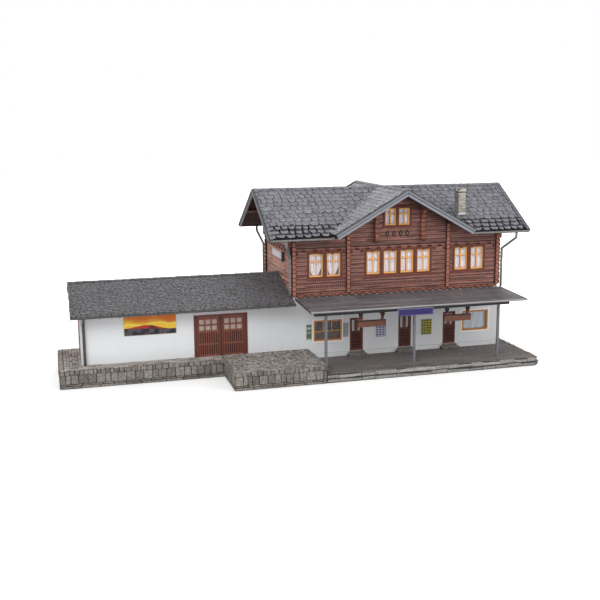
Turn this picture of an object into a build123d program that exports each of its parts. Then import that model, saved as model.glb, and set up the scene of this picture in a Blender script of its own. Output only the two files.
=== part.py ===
from build123d import *
import math
import os

# A chalet-style railway station with a goods shed, as a plastic scale model at 1:87.
# Millimetres, +X along the platform, +Y from the platform to the back, +Z up.
# Plan places are counted from the loading platform's left end (x) and from the face of
# the front wall (y); everything is moved at the end so that the origin is the middle of
# the model's footprint, on the ground.

# ---- Station: plan and heights ----
station_left = 172.9
station_length = 172.7
building_depth = 85.0
base_height = 5.4
ground_wall = 2.0
ground_storey = 50.2
upper_storey = 38.0
floor_slab = 2.0

# ---- Log storey ----
log_wall = 3.0
log_course = 3.4
log_groove = 0.45
log_end_reach = 1.5
log_end_notch = 0.7
log_end_bevel = 0.3
cross_wall_offset = 41.5
joist_pitch = 5.9
joist_width = 3.9
joist_height = 1.9
joist_reach = 1.3
ledge_height = 1.2
ledge_reach = 1.0

# ---- Main roof, ridge along x ----
roof_sheet = 2.0
main_eave_rise = 7.24
main_slope = 0.6025
main_eave_overhang = 13.2
gable_overhang = 21.0

# ---- Cross roof over the middle bay, ridge along y ----
cross_ridge_step = 0.7
cross_slope = 0.5645
cross_half_span = 56.8
cross_overhang = 19.7

# ---- Barge boards, purlins, brackets and corbels ----
barge_board = 1.2
barge_strip = 0.6
barge_depth = 3.7
cross_barge_depth = 4.2
barge_strip_share = 0.47
barge_joint = 0.2
purlin = 2.2
main_purlin_offset = 27.0
bracket_offset = 19.0
bracket_width = 3.0
bracket_depth = 4.5
bracket_head = 9.0
bracket_foot_gap = 0.4
corbel_steps = (3.3, 3.1, 2.9, 2.7)
corbel_bevel = 0.5

# ---- Goods shed ----
shed_left = 15.7
shed_wall = 2.0
shed_eave_rise = 38.7
shed_slope = 0.3006
shed_eave_overhang = 11.4
shed_verge = 6.7
shed_sheet = 1.8

# ---- Loading platform and ramp ----
platform_height = 13.0
platform_front = 12.2
platform_return = 54.5
ramp_front = 51.8
ramp_left = 117.9
ramp_overlap = 12.1

# ---- Base and kerb ----
base_right_margin = 9.3
base_back_margin = 8.0
base_corner = 3.5
kerb_width = 2.4
kerb_step = 0.8
kerb_lower = 2.6

# ---- Canopy ----
canopy_margin = 2.3
canopy_reach = 45.1
canopy_sheet = 1.2
canopy_back_drop = 2.2
canopy_fall = 2.1
post_line = 34.4
post_size = 1.8
post_inset = 16.6
post_foot = 3.0
post_foot_height = 0.8
beam_height = 1.8
beam_end = 9.0
rafter_width = 2.0
rafter_depth = 2.8
rafter_count = 7
rafter_end = 3.0

# ---- Windows and doors ----
upper_window_width = 10.9
upper_sill_rise = 13.4
upper_window_height = 17.9
window_pitch = 14.0
side_group_offset = 60.2
attic_window_width = 9.1
attic_sill_rise = 13.0
attic_window_height = 13.0
attic_window_pitch = 11.3
attic_window_shift = 1.2
ground_window_width = 22.8
ground_sill_rise = 13.0
ground_window_height = 16.6
ground_window_shares = (0.1645, 0.888)
frame_bar = 0.9
frame_depth = 1.2
frame_setback = 0.3
ground_frame_bar = 1.35
casing_width = 1.5
casing_sheet = 0.5
glass_sheet = 0.5
glass_margin = 1.0
door_width = 10.8
door_rise = 3.5
door_height = 26.3
door_shares = (0.300, 0.5345, 0.7557)
door_leaf = 1.2
door_setback = 0.5
door_pane_width = 2.6
door_pane_height = 9.0
door_stile = 1.8
step_width = 14.8
step_tread = 2.25
step_inset = 1.5

# ---- Goods doors and the shed's side door ----
goods_left = 97.6
goods_width = 40.2
goods_height = 32.1
goods_frame = 1.3
goods_leaf_gap = 0.2
goods_leaf = 1.2
pane_columns = 3
pane_rows = 2
pane_width = 4.0
pane_height = 3.9
pane_bar = 0.8
pane_top_margin = 2.6
side_door_y = 22.0
side_door_width = 26.0
side_door_height = 28.0

# ---- Chimney ----
chimney_share = 0.827
chimney_front = 6.8
chimney_width = 6.2
chimney_depth = 6.6
chimney_below_ridge = 1.3
chimney_cap = 2.6
chimney_cap_reach = 0.4
chimney_collar = 0.8
chimney_collar_reach = 0.15

# ---- Gutters and pipes ----
gutter_radius = 1.3
gutter_wall = 0.4
gutter_drop = 0.6
gutter_end_gap = 0.4
pipe_radius = 1.0
pipe_bend = 1.8
pipe_corner = 1.9
pipe_outlet_front = 7.8
pipe_outlet_back = 4.7
pipe_stub = 4.0
pipe_elbow_drop = 14.0
pipe_foot_gap = 0.5
shed_pipe_inset = 2.3
shed_pipe_stub = 2.0
shed_pipe_elbow_drop = 5.0

# ---- Signs and boards ----
sign_sheet = 0.5
billboard_left = 46.4
billboard_width = 38.0
billboard_rise = 19.8
billboard_height = 14.5
goods_sign_height = 2.7
platform_sign_width = 28.2
platform_sign_height = 5.3
platform_sign_drop = 1.6
platform_sign_share = 0.479
gable_sign_y = 25.8
gable_sign_length = 34.0
gable_sign_rise = 23.9
gable_sign_height = 5.3
# Each notice: share of the front's length to its middle, width, rise above the base, height.
notice_places = ((0.0760, 4.4, 15.0, 11.8), (0.2492, 4.2, 15.3, 11.0),
                 (0.4184, 8.3, 13.3, 8.8), (0.6420, 8.9, 12.2, 12.6))
hanging_board_length = 22.0
hanging_board_height = 4.7
hanging_board_sheet = 2.0
hanging_board_drop = 5.7
hanging_board_shares = (0.302, 0.7035)
hanger_inset = 2.6
hanger_width = 1.8

# ---- Worked-out places ----
station_right = station_left + station_length
station_mid = station_left + station_length / 2
ridge_y = building_depth / 2
upper_floor_level = base_height + ground_storey
attic_floor_level = upper_floor_level + upper_storey
main_left = station_left - gable_overhang
main_right = station_right + gable_overhang
main_half_span = ridge_y + main_eave_overhang
main_eave = attic_floor_level + main_eave_rise
main_ridge = main_eave + main_slope * main_half_span
cross_ridge = main_ridge + cross_ridge_step
cross_front = -cross_overhang
cross_back = building_depth + cross_overhang
shed_half_span = ridge_y + shed_eave_overhang
shed_eave = platform_height + shed_eave_rise
shed_ridge = shed_eave + shed_slope * shed_half_span
barge = barge_board + barge_strip
ramp_right = station_left + ramp_overlap
upper_sill = upper_floor_level + upper_sill_rise
attic_sill = attic_floor_level + attic_sill_rise
ground_sill = base_height + ground_sill_rise
door_sill = base_height + door_rise
canopy_back_top = upper_floor_level - canopy_back_drop
canopy_slope = canopy_fall / canopy_reach
plate_level = main_eave + main_slope * main_eave_overhang - roof_sheet
plate_course = math.floor((plate_level - upper_floor_level) / log_course)
corbel_bottom = upper_floor_level + log_course * (plate_course - len(corbel_steps))
wall_foot = upper_floor_level - joist_height
parts = {}


def plumb(thickness, slope):
    """Upright thickness of a sheet of the given thickness laid at a slope."""
    return thickness * math.hypot(1, slope)


def block(x0, x1, y0, y1, z0, z1):
    """Box between two corners."""
    box = Box(x1 - x0, y1 - y0, z1 - z0)
    return Pos((x0 + x1) / 2, (y0 + y1) / 2, (z0 + z1) / 2) * box


def prism(axis, points, start, end):
    """Closed outline carried along an axis; the points are in the other two axes' order."""
    place = {
        "x": lambda a, b: (start, a, b),
        "y": lambda a, b: (a, start, b),
        "z": lambda a, b: (a, b, start),
    }[axis]
    way = {"x": (1, 0, 0), "y": (0, 1, 0), "z": (0, 0, 1)}[axis]
    outline = Polyline(*[place(a, b) for a, b in points], close=True)
    return extrude(make_face(outline), amount=end - start, dir=way)


def add(name, *solids):
    """Registers a node made of one or several separate solids."""
    pieces = []
    for shape in solids:
        pieces.extend(shape.solids())
    parts[name] = pieces


def mirrored(solid):
    """The same piece on the other side of the ridge, front to back."""
    plane = Plane(origin=(0, ridge_y, 0), z_dir=(0, 1, 0))
    return mirror(solid, about=plane)


# ---- Roof forms ----
def gable_prism(axis, middle, half_span, ridge, slope, drop, start, end):
    """Everything below a gable roof's surface lowered by drop."""
    eave = ridge - slope * half_span
    points = [(middle - half_span, 0), (middle - half_span, eave - drop),
              (middle, ridge - drop),
              (middle + half_span, eave - drop), (middle + half_span, 0)]
    return prism(axis, points, start, end)


def slope_sheet(axis, middle, reach, ridge, slope, drop, start, end):
    """One slope of a gable roof, from the ridge out to a signed reach."""
    eave = ridge - slope * abs(reach)
    points = [(middle, ridge), (middle, ridge - drop),
              (middle + reach, eave - drop), (middle + reach, eave)]
    return prism(axis, points, start, end)


main_drop = plumb(roof_sheet, main_slope)
cross_drop = plumb(roof_sheet, cross_slope)
shed_drop = plumb(shed_sheet, shed_slope)
main_inner = gable_prism("x", ridge_y, main_half_span, main_ridge, main_slope,
                         main_drop, main_left, main_right)
cross_inner = gable_prism("y", station_mid, cross_half_span, cross_ridge, cross_slope,
                          cross_drop, cross_front, cross_back)
cross_outer = gable_prism("y", station_mid, cross_half_span, cross_ridge, cross_slope,
                          0, cross_front - 1, cross_back + 1)
shed_inner = gable_prism("x", ridge_y, shed_half_span, shed_ridge, shed_slope,
                         shed_drop, shed_left - shed_verge, station_left)
under_roofs = main_inner + cross_inner


def make_roofs():
    """Main roof slopes either side of the cross roof, the cross roof and the shed roof."""
    for face, reach in (("front", -main_half_span), ("back", main_half_span)):
        sheet = slope_sheet("x", ridge_y, reach, main_ridge, main_slope,
                            main_drop, main_left + barge, main_right - barge)
        add(f"main_roof_{face}", sheet - cross_outer)
    for side, reach in (("left", -cross_half_span), ("right", cross_half_span)):
        sheet = slope_sheet("y", station_mid, reach, cross_ridge, cross_slope,
                            cross_drop, cross_front + barge, cross_back - barge)
        add(f"cross_roof_{side}", sheet - main_inner)
    for face, reach in (("front", -shed_half_span), ("back", shed_half_span)):
        sheet = slope_sheet("x", ridge_y, reach, shed_ridge, shed_slope,
                            shed_drop, shed_left - shed_verge, station_left)
        add(f"shed_roof_{face}", sheet)


def barge_pair(axis, middle, half_span, ridge, slope, face_at, outward, board_depth, foot):
    """Two raking boards with a stepped strip; face_at is the outer face of the pair.

    The boards are cut square to the slope at their lower ends, and level at foot.
    """
    boards = []
    back = face_at - outward * barge
    middle_face = face_at - outward * barge_strip
    tangent = math.atan(slope)
    for side in (-1, 1):
        inner_end = barge_joint / 2
        for depth, near, far in ((board_depth, back, middle_face),
                                 (board_depth * barge_strip_share, middle_face, face_at)):
            drop = plumb(depth, slope)
            lower = half_span - depth * math.sin(tangent)
            tip = ridge - slope * lower - drop
            points = [(middle + side * inner_end, ridge - slope * inner_end),
                      (middle + side * inner_end, ridge - slope * inner_end - drop)]
            if tip < foot:
                points.append((middle + side * (ridge - drop - foot) / slope, foot))
                outer = half_span - (ridge - slope * half_span - foot) * slope
                points.append((middle + side * outer, foot))
            else:
                points.append((middle + side * lower, tip))
            points.append((middle + side * half_span, ridge - slope * half_span))
            low, high = min(near, far), max(near, far)
            boards.append(prism(axis, points, low, high))
    return [boards[0] + boards[1], boards[2] + boards[3]]


def make_barge_boards():
    """Boards on the two ends of the main roof and of the cross roof."""
    main = (ridge_y, main_half_span, main_ridge, main_slope)
    cross = (station_mid, cross_half_span, cross_ridge, cross_slope)
    main_foot = main_eave - gutter_drop - gutter_radius
    add("main_barge_boards",
        *barge_pair("x", *main, main_left, -1, barge_depth, main_foot),
        *barge_pair("x", *main, main_right, 1, barge_depth, main_foot))
    add("cross_barge_boards",
        *barge_pair("y", *cross, cross_front, -1, cross_barge_depth, 0),
        *barge_pair("y", *cross, cross_back, 1, cross_barge_depth, 0))


# ---- Walls ----
def log_outline(face_at, inward, top):
    """Cross-section of a wall of squared logs on a flat sill beam behind the joist ends."""
    bottom = upper_floor_level
    points = [(face_at + inward * log_wall, top), (face_at + inward * log_wall, wall_foot),
              (face_at + inward * log_groove, wall_foot)]
    courses = math.ceil((top - bottom) / log_course)
    for course in range(courses):
        low = bottom + course * log_course
        high = low + log_course
        points.append((face_at + inward * log_groove, low))
        points.append((face_at, low + log_groove))
        points.append((face_at, high - log_groove))
    points.append((face_at + inward * log_groove, bottom + courses * log_course))
    points[0] = (face_at + inward * log_wall, bottom + courses * log_course)
    return points


def comb_outline(face_at, outward, bottom, top):
    """Cross-section of stacked log ends that stand out of a wall face."""
    points = [(face_at, bottom)]
    courses = math.ceil((top - bottom) / log_course)
    for course in range(courses):
        low = bottom + course * log_course
        high = low + log_course
        near = face_at + outward * (log_end_reach - log_end_notch)
        far = face_at + outward * log_end_reach
        points += [(near, low), (near, low + log_end_bevel), (far, low + 2 * log_end_bevel),
                   (far, high - 2 * log_end_bevel), (near, high - log_end_bevel)]
    points += [(near, bottom + courses * log_course), (face_at, bottom + courses * log_course)]
    return points


def window_row(middle, count, pitch):
    """Centres of a row of windows."""
    return [middle + (i - (count - 1) / 2) * pitch for i in range(count)]


upper_rows = [window_row(station_mid - side_group_offset, 2, window_pitch),
              window_row(station_mid, 4, window_pitch),
              window_row(station_mid + side_group_offset, 2, window_pitch)]
attic_row = window_row(station_mid - attic_window_shift, 2, attic_window_pitch)
side_row = window_row(ridge_y, 2, window_pitch)
ground_centres = [station_left + s * station_length for s in ground_window_shares]
door_centres = [station_left + s * station_length for s in door_shares]


def openings_x(centres, width, sill, height, y0, y1):
    """Window or door holes through a wall that runs along x."""
    return [block(c - width / 2, c + width / 2, y0, y1, sill, sill + height) for c in centres]


def openings_y(centres, width, sill, height, x0, x1):
    """Window or door holes through a wall that runs along y."""
    return [block(x0, x1, c - width / 2, c + width / 2, sill, sill + height) for c in centres]


def cut(solid, holes):
    """The solid with every hole taken out."""
    for hole in holes:
        solid = solid - hole
    return solid


def corbel_stack(face_at, outward):
    """Top courses of a front corner that step out to carry the gable overhang."""
    stack = []
    for i, reach in enumerate(reversed(corbel_steps)):
        low = corbel_bottom + i * log_course
        end = face_at + outward * reach
        nose = face_at + outward * (reach - corbel_bevel)
        points = [(face_at, low), (nose, low), (end, low + corbel_bevel),
                  (end, low + log_course), (face_at, low + log_course)]
        stack.append(prism("y", points, 0, log_wall))
    solid = stack[0]
    for course in stack[1:]:
        solid = solid + course
    return solid & main_inner


def make_log_storey():
    """Four log walls up to the roofs, with log ends at the corners and cross walls."""
    bottom = upper_floor_level
    outline = log_outline(0, 1, cross_ridge)
    front = prism("x", outline, station_left + log_wall, station_right - log_wall)
    front = front & under_roofs
    centres = [c for row in upper_rows for c in row]
    holes = openings_x(centres, upper_window_width, upper_sill, upper_window_height,
                       -1, log_wall + 1)
    holes += openings_x(attic_row, attic_window_width, attic_sill,
                        attic_window_height, -1, log_wall + 1)
    front = cut(front, holes)
    add("log_front_wall", front)
    add("log_back_wall", mirrored(front))
    for name, face_at, inward in (("left", station_left, 1), ("right", station_right, -1)):
        outline = log_outline(face_at, inward, main_ridge)
        side = prism("y", outline, 0, building_depth) & main_inner
        if name == "right":
            holes = openings_y(side_row, upper_window_width, upper_sill,
                               upper_window_height, station_right - log_wall - 1,
                               station_right + 1)
            side = cut(side, holes)
        add(f"log_{name}_wall", side)
    places = [station_left, station_mid - cross_wall_offset - log_wall / 2,
              station_mid + cross_wall_offset - log_wall / 2, station_right - log_wall]
    combs = [prism("x", comb_outline(0, -1, bottom, cross_ridge), x, x + log_wall) & under_roofs
             for x in places]
    combs += [mirrored(comb) for comb in combs]
    corbels = []
    for face_at, outward in ((station_left, -1), (station_right, 1)):
        outline = comb_outline(face_at, outward, bottom, corbel_bottom - log_groove)
        combs += [prism("y", outline, y, y + log_wall)
                  for y in (0, building_depth - log_wall)]
        corbel = corbel_stack(face_at, outward)
        corbels += [corbel, mirrored(corbel)]
    add("log_ends", *combs)
    add("eave_corbels", *corbels)


def make_ground_walls():
    """Plastered walls of the ground storey, standing on the base."""
    front = block(station_left, station_right, 0, ground_wall, base_height, wall_foot)
    holes = openings_x(ground_centres, ground_window_width, ground_sill,
                       ground_window_height, -1, ground_wall + 1)
    doors = openings_x(door_centres, door_width, door_sill, door_height, -1, ground_wall + 1)
    add("station_front_wall", cut(front, holes + doors))
    rear_door = openings_x(door_centres[1:2], door_width, door_sill, door_height,
                           -1, ground_wall + 1)
    add("station_back_wall", mirrored(cut(front, holes + rear_door)))
    left = block(station_left, station_left + ground_wall, ground_wall,
                 building_depth - ground_wall, base_height, wall_foot)
    add("station_left_wall", left)
    right = block(station_right - ground_wall, station_right, ground_wall,
                  building_depth - ground_wall, base_height, wall_foot)
    holes = openings_y([ridge_y], ground_window_width, ground_sill,
                       ground_window_height, station_right - ground_wall - 1,
                       station_right + 1)
    add("station_right_wall", cut(right, holes))


def make_floors():
    """Upper floor, attic floor and the shed's floor."""
    inner_left = station_left + log_wall
    inner_right = station_right - log_wall
    upper = block(inner_left, inner_right, log_wall, building_depth - log_wall,
                  upper_floor_level - floor_slab, upper_floor_level)
    add("upper_floor", upper)
    attic = block(inner_left, inner_right, log_wall, building_depth - log_wall,
                  attic_floor_level - floor_slab, attic_floor_level)
    add("attic_floor", attic)
    shed = block(shed_left + shed_wall, station_left, shed_wall, building_depth - shed_wall,
                 platform_height - floor_slab, platform_height)
    add("shed_floor", shed)


def make_shed():
    """Shed walls from the ground to the roof, with goods doors front and back."""
    front = block(shed_left, station_left, 0, shed_wall, 0, shed_ridge) & shed_inner
    goods = block(goods_left, goods_left + goods_width, -1, shed_wall + 1,
                  platform_height, platform_height + goods_height)
    front = front - goods
    add("shed_front_wall", front)
    add("shed_back_wall", mirrored(front))
    left = block(shed_left, shed_left + shed_wall, shed_wall, building_depth - shed_wall,
                 0, shed_ridge) & shed_inner
    door = block(shed_left - 1, shed_left + shed_wall + 1, side_door_y,
                 side_door_y + side_door_width, platform_height,
                 platform_height + side_door_height)
    add("shed_left_wall", left - door)


# ---- Ground works ----
def base_outline(grow):
    """Plan of the station's base, grown outwards at the front, right and back."""
    corner = base_corner + grow * (2 - math.sqrt(2))
    left = station_left
    right = station_right + base_right_margin + grow
    front = -(ramp_front - kerb_width - kerb_step) - grow
    back = building_depth + base_back_margin + grow
    return [(ramp_right, 0), (ramp_right, front), (right - corner, front),
            (right, front + corner), (right, back - corner), (right - corner, back),
            (left, back), (left, 0)]


def make_ground_works():
    """Base with its kerb, the loading platform and the ramp in front of it."""
    base = prism("z", base_outline(0), 0, base_height)
    add("station_base", base)
    lower = prism("z", base_outline(kerb_width + kerb_step), 0, kerb_lower)
    upper = prism("z", base_outline(kerb_width), 0, base_height)
    add("kerb_stones", (lower + upper) - base)
    front = block(0, ramp_right, -platform_front, 0, 0, platform_height)
    side = block(0, shed_left, 0, platform_return, 0, platform_height)
    add("loading_platform", front + side)
    ramp = block(ramp_left, ramp_right, -ramp_front, -platform_front, 0, platform_height)
    add("loading_ramp", ramp)
    steps = []
    rise = (door_sill - base_height) / 2
    for centre in door_centres:
        lower = block(centre - step_width / 2, centre + step_width / 2, -2 * step_tread, 0,
                      base_height, base_height + rise)
        upper = block(centre - step_width / 2 + step_inset, centre + step_width / 2 - step_inset,
                      -step_tread, 0, base_height + rise, door_sill)
        steps.append(lower + upper)
    steps.append(mirrored(steps[1]))
    add("door_steps", *steps)


# ---- Windows and doors ----
def ring_x(centre, width, sill, height, bar, y0, y1):
    """Upright rectangular ring around a centre, in a wall that runs along x."""
    outer = block(centre - width / 2, centre + width / 2, y0, y1, sill, sill + height)
    inner = block(centre - width / 2 + bar, centre + width / 2 - bar, y0 - 1, y1 + 1,
                  sill + bar, sill + height - bar)
    return outer - inner


def turned(solid, face_x):
    """Turns a piece made for the front wall round on to the right wall's face."""
    quarter = Rot(0, 0, 90) * (Pos(-station_mid, 0, 0) * solid)
    return Pos(face_x, ridge_y, 0) * quarter


def casing(row, width, sill, height):
    """Flat boards around and between the windows of one row, on the wall's face."""
    left = row[0] - width / 2 - casing_width
    right = row[-1] + width / 2 + casing_width
    plate = block(left, right, -casing_sheet, 0, sill - casing_width,
                  sill + height + casing_width)
    return cut(plate, openings_x(row, width, sill, height, -casing_sheet - 1, 1))


def make_windows():
    """Casings, frames and glass of every wall."""
    rows = [(row, upper_window_width, upper_sill, upper_window_height)
            for row in upper_rows]
    rows.append((attic_row, attic_window_width, attic_sill, attic_window_height))
    casings = [casing(*row) for row in rows]
    frames = [ring_x(c, width, sill, height, frame_bar, frame_setback,
                     frame_setback + frame_depth)
              for row, width, sill, height in rows for c in row]
    side = window_row(station_mid, 2, window_pitch)
    side_size = (upper_window_width, upper_sill, upper_window_height)
    side_casing = turned(casing(side, *side_size), station_right)
    add("window_casings", *casings, *[mirrored(c) for c in casings], side_casing)
    side_frames = [turned(ring_x(c, *side_size, frame_bar, frame_setback,
                                 frame_setback + frame_depth), station_right) for c in side]
    add("upper_window_frames", *frames, *[mirrored(f) for f in frames], *side_frames)
    ground_size = (ground_window_width, ground_sill, ground_window_height)
    ground = [ring_x(c, *ground_size, ground_frame_bar, 0, frame_depth) for c in ground_centres]
    ground_side = turned(ring_x(station_mid, *ground_size, ground_frame_bar, 0, frame_depth),
                         station_right)
    add("ground_window_frames", *ground, *[mirrored(f) for f in ground], ground_side)
    # One sheet of glass a storey closes all the windows of a wall from inside.
    upper_glass = block(upper_rows[0][0] - upper_window_width / 2 - glass_margin,
                        upper_rows[2][1] + upper_window_width / 2 + glass_margin,
                        log_wall, log_wall + glass_sheet, upper_sill - glass_margin,
                        upper_sill + upper_window_height + glass_margin)
    attic_glass = block(attic_row[0] - attic_window_width / 2 - glass_margin,
                        attic_row[1] + attic_window_width / 2 + glass_margin,
                        log_wall, log_wall + glass_sheet, attic_sill - glass_margin,
                        attic_sill + attic_window_height + glass_margin)
    glass = [upper_glass, attic_glass]
    half = ground_window_width / 2 + glass_margin
    ground_glass = [block(c - half, c + half, ground_wall, ground_wall + glass_sheet,
                          ground_sill - glass_margin,
                          ground_sill + ground_window_height + glass_margin)
                    for c in ground_centres]
    glass += ground_glass
    glass += [mirrored(sheet) for sheet in glass]
    side_half = window_pitch / 2 + upper_window_width / 2 + glass_margin
    side_glass = block(station_mid - side_half, station_mid + side_half, log_wall,
                       log_wall + glass_sheet, upper_sill - glass_margin,
                       upper_sill + upper_window_height + glass_margin)
    low_glass = block(station_mid - half, station_mid + half, ground_wall,
                      ground_wall + glass_sheet, ground_sill - glass_margin,
                      ground_sill + ground_window_height + glass_margin)
    glass += [turned(side_glass, station_right), turned(low_glass, station_right)]
    add("window_glass", *glass)


def panel_door(centre):
    """Door leaf with two narrow panes cut through its upper half."""
    leaf = block(centre - door_width / 2, centre + door_width / 2, door_setback,
                 door_setback + door_leaf, door_sill, door_sill + door_height)
    top = door_sill + door_height - door_stile
    for side in (-1, 1):
        middle = centre + side * (door_width / 2 - door_stile - door_pane_width / 2)
        leaf = leaf - block(middle - door_pane_width / 2, middle + door_pane_width / 2,
                            door_setback - 1, door_setback + door_leaf + 1,
                            top - door_pane_height, top)
    return leaf


def goods_leaf_solid(x0, x1):
    """Goods door leaf with small panes cut through its upper part."""
    z0 = platform_height
    z1 = platform_height + goods_height - goods_frame
    leaf = block(x0, x1, door_setback, door_setback + goods_leaf, z0, z1)
    middle = (x0 + x1) / 2
    for column in range(pane_columns):
        x = middle + (column - (pane_columns - 1) / 2) * (pane_width + pane_bar)
        for row in range(pane_rows):
            top = z1 - pane_top_margin - row * (pane_height + pane_bar)
            leaf = leaf - block(x - pane_width / 2, x + pane_width / 2, door_setback - 1,
                                door_setback + goods_leaf + 1, top - pane_height, top)
    return leaf


def make_doors():
    """Front doors, a rear door, the goods doors and the shed's side door."""
    leaves = [panel_door(c) for c in door_centres]
    add("station_doors", *leaves, mirrored(leaves[1]))
    x0 = goods_left
    x1 = goods_left + goods_width
    z0 = platform_height
    z1 = z0 + goods_height
    frame = block(x0, x1, 0, shed_wall, z0, z1)
    frame = frame - block(x0 + goods_frame, x1 - goods_frame, -1, shed_wall + 1, z0 - 1,
                          z1 - goods_frame)
    middle = (x0 + x1) / 2
    left = goods_leaf_solid(x0 + goods_frame, middle - goods_leaf_gap / 2)
    right = goods_leaf_solid(middle + goods_leaf_gap / 2, x1 - goods_frame)
    add("goods_door_frames", frame, mirrored(frame))
    add("goods_doors", left, right, mirrored(left), mirrored(right))
    side = block(shed_left + door_setback, shed_left + door_setback + door_leaf, side_door_y,
                 side_door_y + side_door_width, platform_height,
                 platform_height + side_door_height)
    add("shed_side_door", side)
    # One pane behind each door closes its lights.
    back = door_setback + door_leaf
    panes = [block(c - door_width / 2 + 1, c + door_width / 2 - 1, back, back + glass_sheet,
                   door_sill + door_height - door_stile - door_pane_height - 1,
                   door_sill + door_height - 1) for c in door_centres]
    panes.append(mirrored(panes[1]))
    pane_bottom = z1 - goods_frame - pane_top_margin - 2 * pane_height - 2
    for leaf in (left, right):
        box = leaf.bounding_box()
        pane = block(box.min.X + 1, box.max.X - 1, back, back + glass_sheet, pane_bottom,
                     z1 - goods_frame - 1)
        panes += [pane, mirrored(pane)]
    add("door_glass", *panes)


# ---- Canopy ----
def make_canopy():
    """Lean-to canopy on rafters, a beam and three posts, with its hanging boards."""
    front_top = canopy_back_top - canopy_fall
    points = [(0, canopy_back_top), (-canopy_reach, front_top),
              (-canopy_reach, front_top - canopy_sheet), (0, canopy_back_top - canopy_sheet)]
    add("canopy_roof", prism("x", points, station_left + canopy_margin,
                             station_right + canopy_margin))
    post_first = station_left + post_inset
    post_last = station_right - post_inset
    places = [post_first, (post_first + post_last) / 2, post_last]
    top_back = canopy_back_top - canopy_sheet
    under = top_back - canopy_slope * post_line
    rafter_low = under - rafter_depth
    beam_low = rafter_low - beam_height
    half = post_size / 2
    posts = []
    for x in places:
        post = block(x - half, x + half, -post_line - half, -post_line + half,
                     base_height, beam_low)
        foot = post_foot / 2
        post = post + block(x - foot, x + foot, -post_line - foot, -post_line + foot,
                            base_height, base_height + post_foot_height)
        posts.append(post)
    add("canopy_posts", *posts)
    add("canopy_beam", block(post_first - beam_end, post_last + beam_end, -post_line - half,
                             -post_line + half, beam_low, rafter_low))
    rafters = []
    spacing = (post_last - post_first) / (rafter_count - 1)
    front = post_line + half + rafter_end
    outline = [(0, top_back), (-front, top_back - canopy_slope * front), (-front, rafter_low),
               (0, rafter_low)]
    for i in range(rafter_count):
        x = post_first + i * spacing
        rafters.append(prism("x", outline, x - rafter_width / 2, x + rafter_width / 2))
    add("canopy_rafters", *rafters)
    boards = []
    top = beam_low - hanging_board_drop
    for share in hanging_board_shares:
        centre = station_left + share * station_length
        first = centre - hanging_board_length / 2
        last = centre + hanging_board_length / 2
        board = block(first, last, -post_line - hanging_board_sheet / 2,
                      -post_line + hanging_board_sheet / 2, top - hanging_board_height, top)
        for x in (first + hanger_inset, last - hanger_inset):
            board = board + block(x - hanger_width / 2, x + hanger_width / 2,
                                  -post_line - hanger_width / 2,
                                  -post_line + hanger_width / 2, top, beam_low)
        boards.append(board)
    add("hanging_boards", *boards)


def platform_sign():
    """Name board on the canopy's front edge."""
    centre = station_left + platform_sign_share * station_length
    sign_top = canopy_back_top - canopy_fall - platform_sign_drop
    return block(centre - platform_sign_width / 2, centre + platform_sign_width / 2,
                 -canopy_reach - sign_sheet, -canopy_reach,
                 sign_top - platform_sign_height, sign_top)


# ---- Timber trim ----
def purlin_bottom(ridge, drop, slope, offset):
    """Underside of a square purlin whose upper edge touches the roof sheet."""
    return ridge - drop - slope * (abs(offset) + purlin / 2) - purlin


def gable_bracket(x, top):
    """Carved console under a purlin: a foot, a waist and a head that curves outwards."""
    low = attic_floor_level + bracket_foot_gap
    rise = top - low
    foot = low + 0.24 * rise
    waist = low + 0.5 * rise
    notch = 0.9
    depth = bracket_depth
    start = x - bracket_width / 2
    side = [
        Line((start, 0, top), (start, 0, low)),
        Line((start, 0, low), (start, -depth / 2, low)),
        ThreePointArc((start, -depth / 2, low), (start, -0.93 * depth, low + 0.4 * (foot - low)),
                      (start, -depth, foot)),
        Line((start, -depth, foot), (start, -depth + notch, foot + notch)),
        Line((start, -depth + notch, foot + notch), (start, -depth + notch, waist)),
        ThreePointArc((start, -depth + notch, waist),
                      (start, -depth - 0.15 * (bracket_head - depth), waist + 0.62 * (top - waist)),
                      (start, -bracket_head, top)),
        Line((start, -bracket_head, top), (start, 0, top)),
    ]
    return extrude(make_face(Wire(side)), amount=bracket_width, dir=(1, 0, 0))


def gutter(eave_y, eave_z, x0, x1):
    """Half-round gutter that hangs against a front eave's edge."""
    top = eave_z - gutter_drop
    middle = eave_y - gutter_radius
    tube = Cylinder(gutter_radius, x1 - x0) - Cylinder(gutter_radius - gutter_wall, x1 - x0)
    tube = Pos((x0 + x1) / 2, middle, top) * (Rot(0, 90, 0) * tube)
    return tube - block(x0 - 1, x1 + 1, eave_y - 3 * gutter_radius, eave_y + 1, top, top + 9)


def pipe(points):
    """Round pipe along straight runs joined by bends."""
    path = FilletPolyline(*points, radius=pipe_bend)
    start = Plane(origin=path @ 0, z_dir=path % 0)
    return sweep(start * Circle(pipe_radius), path=path)


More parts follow.
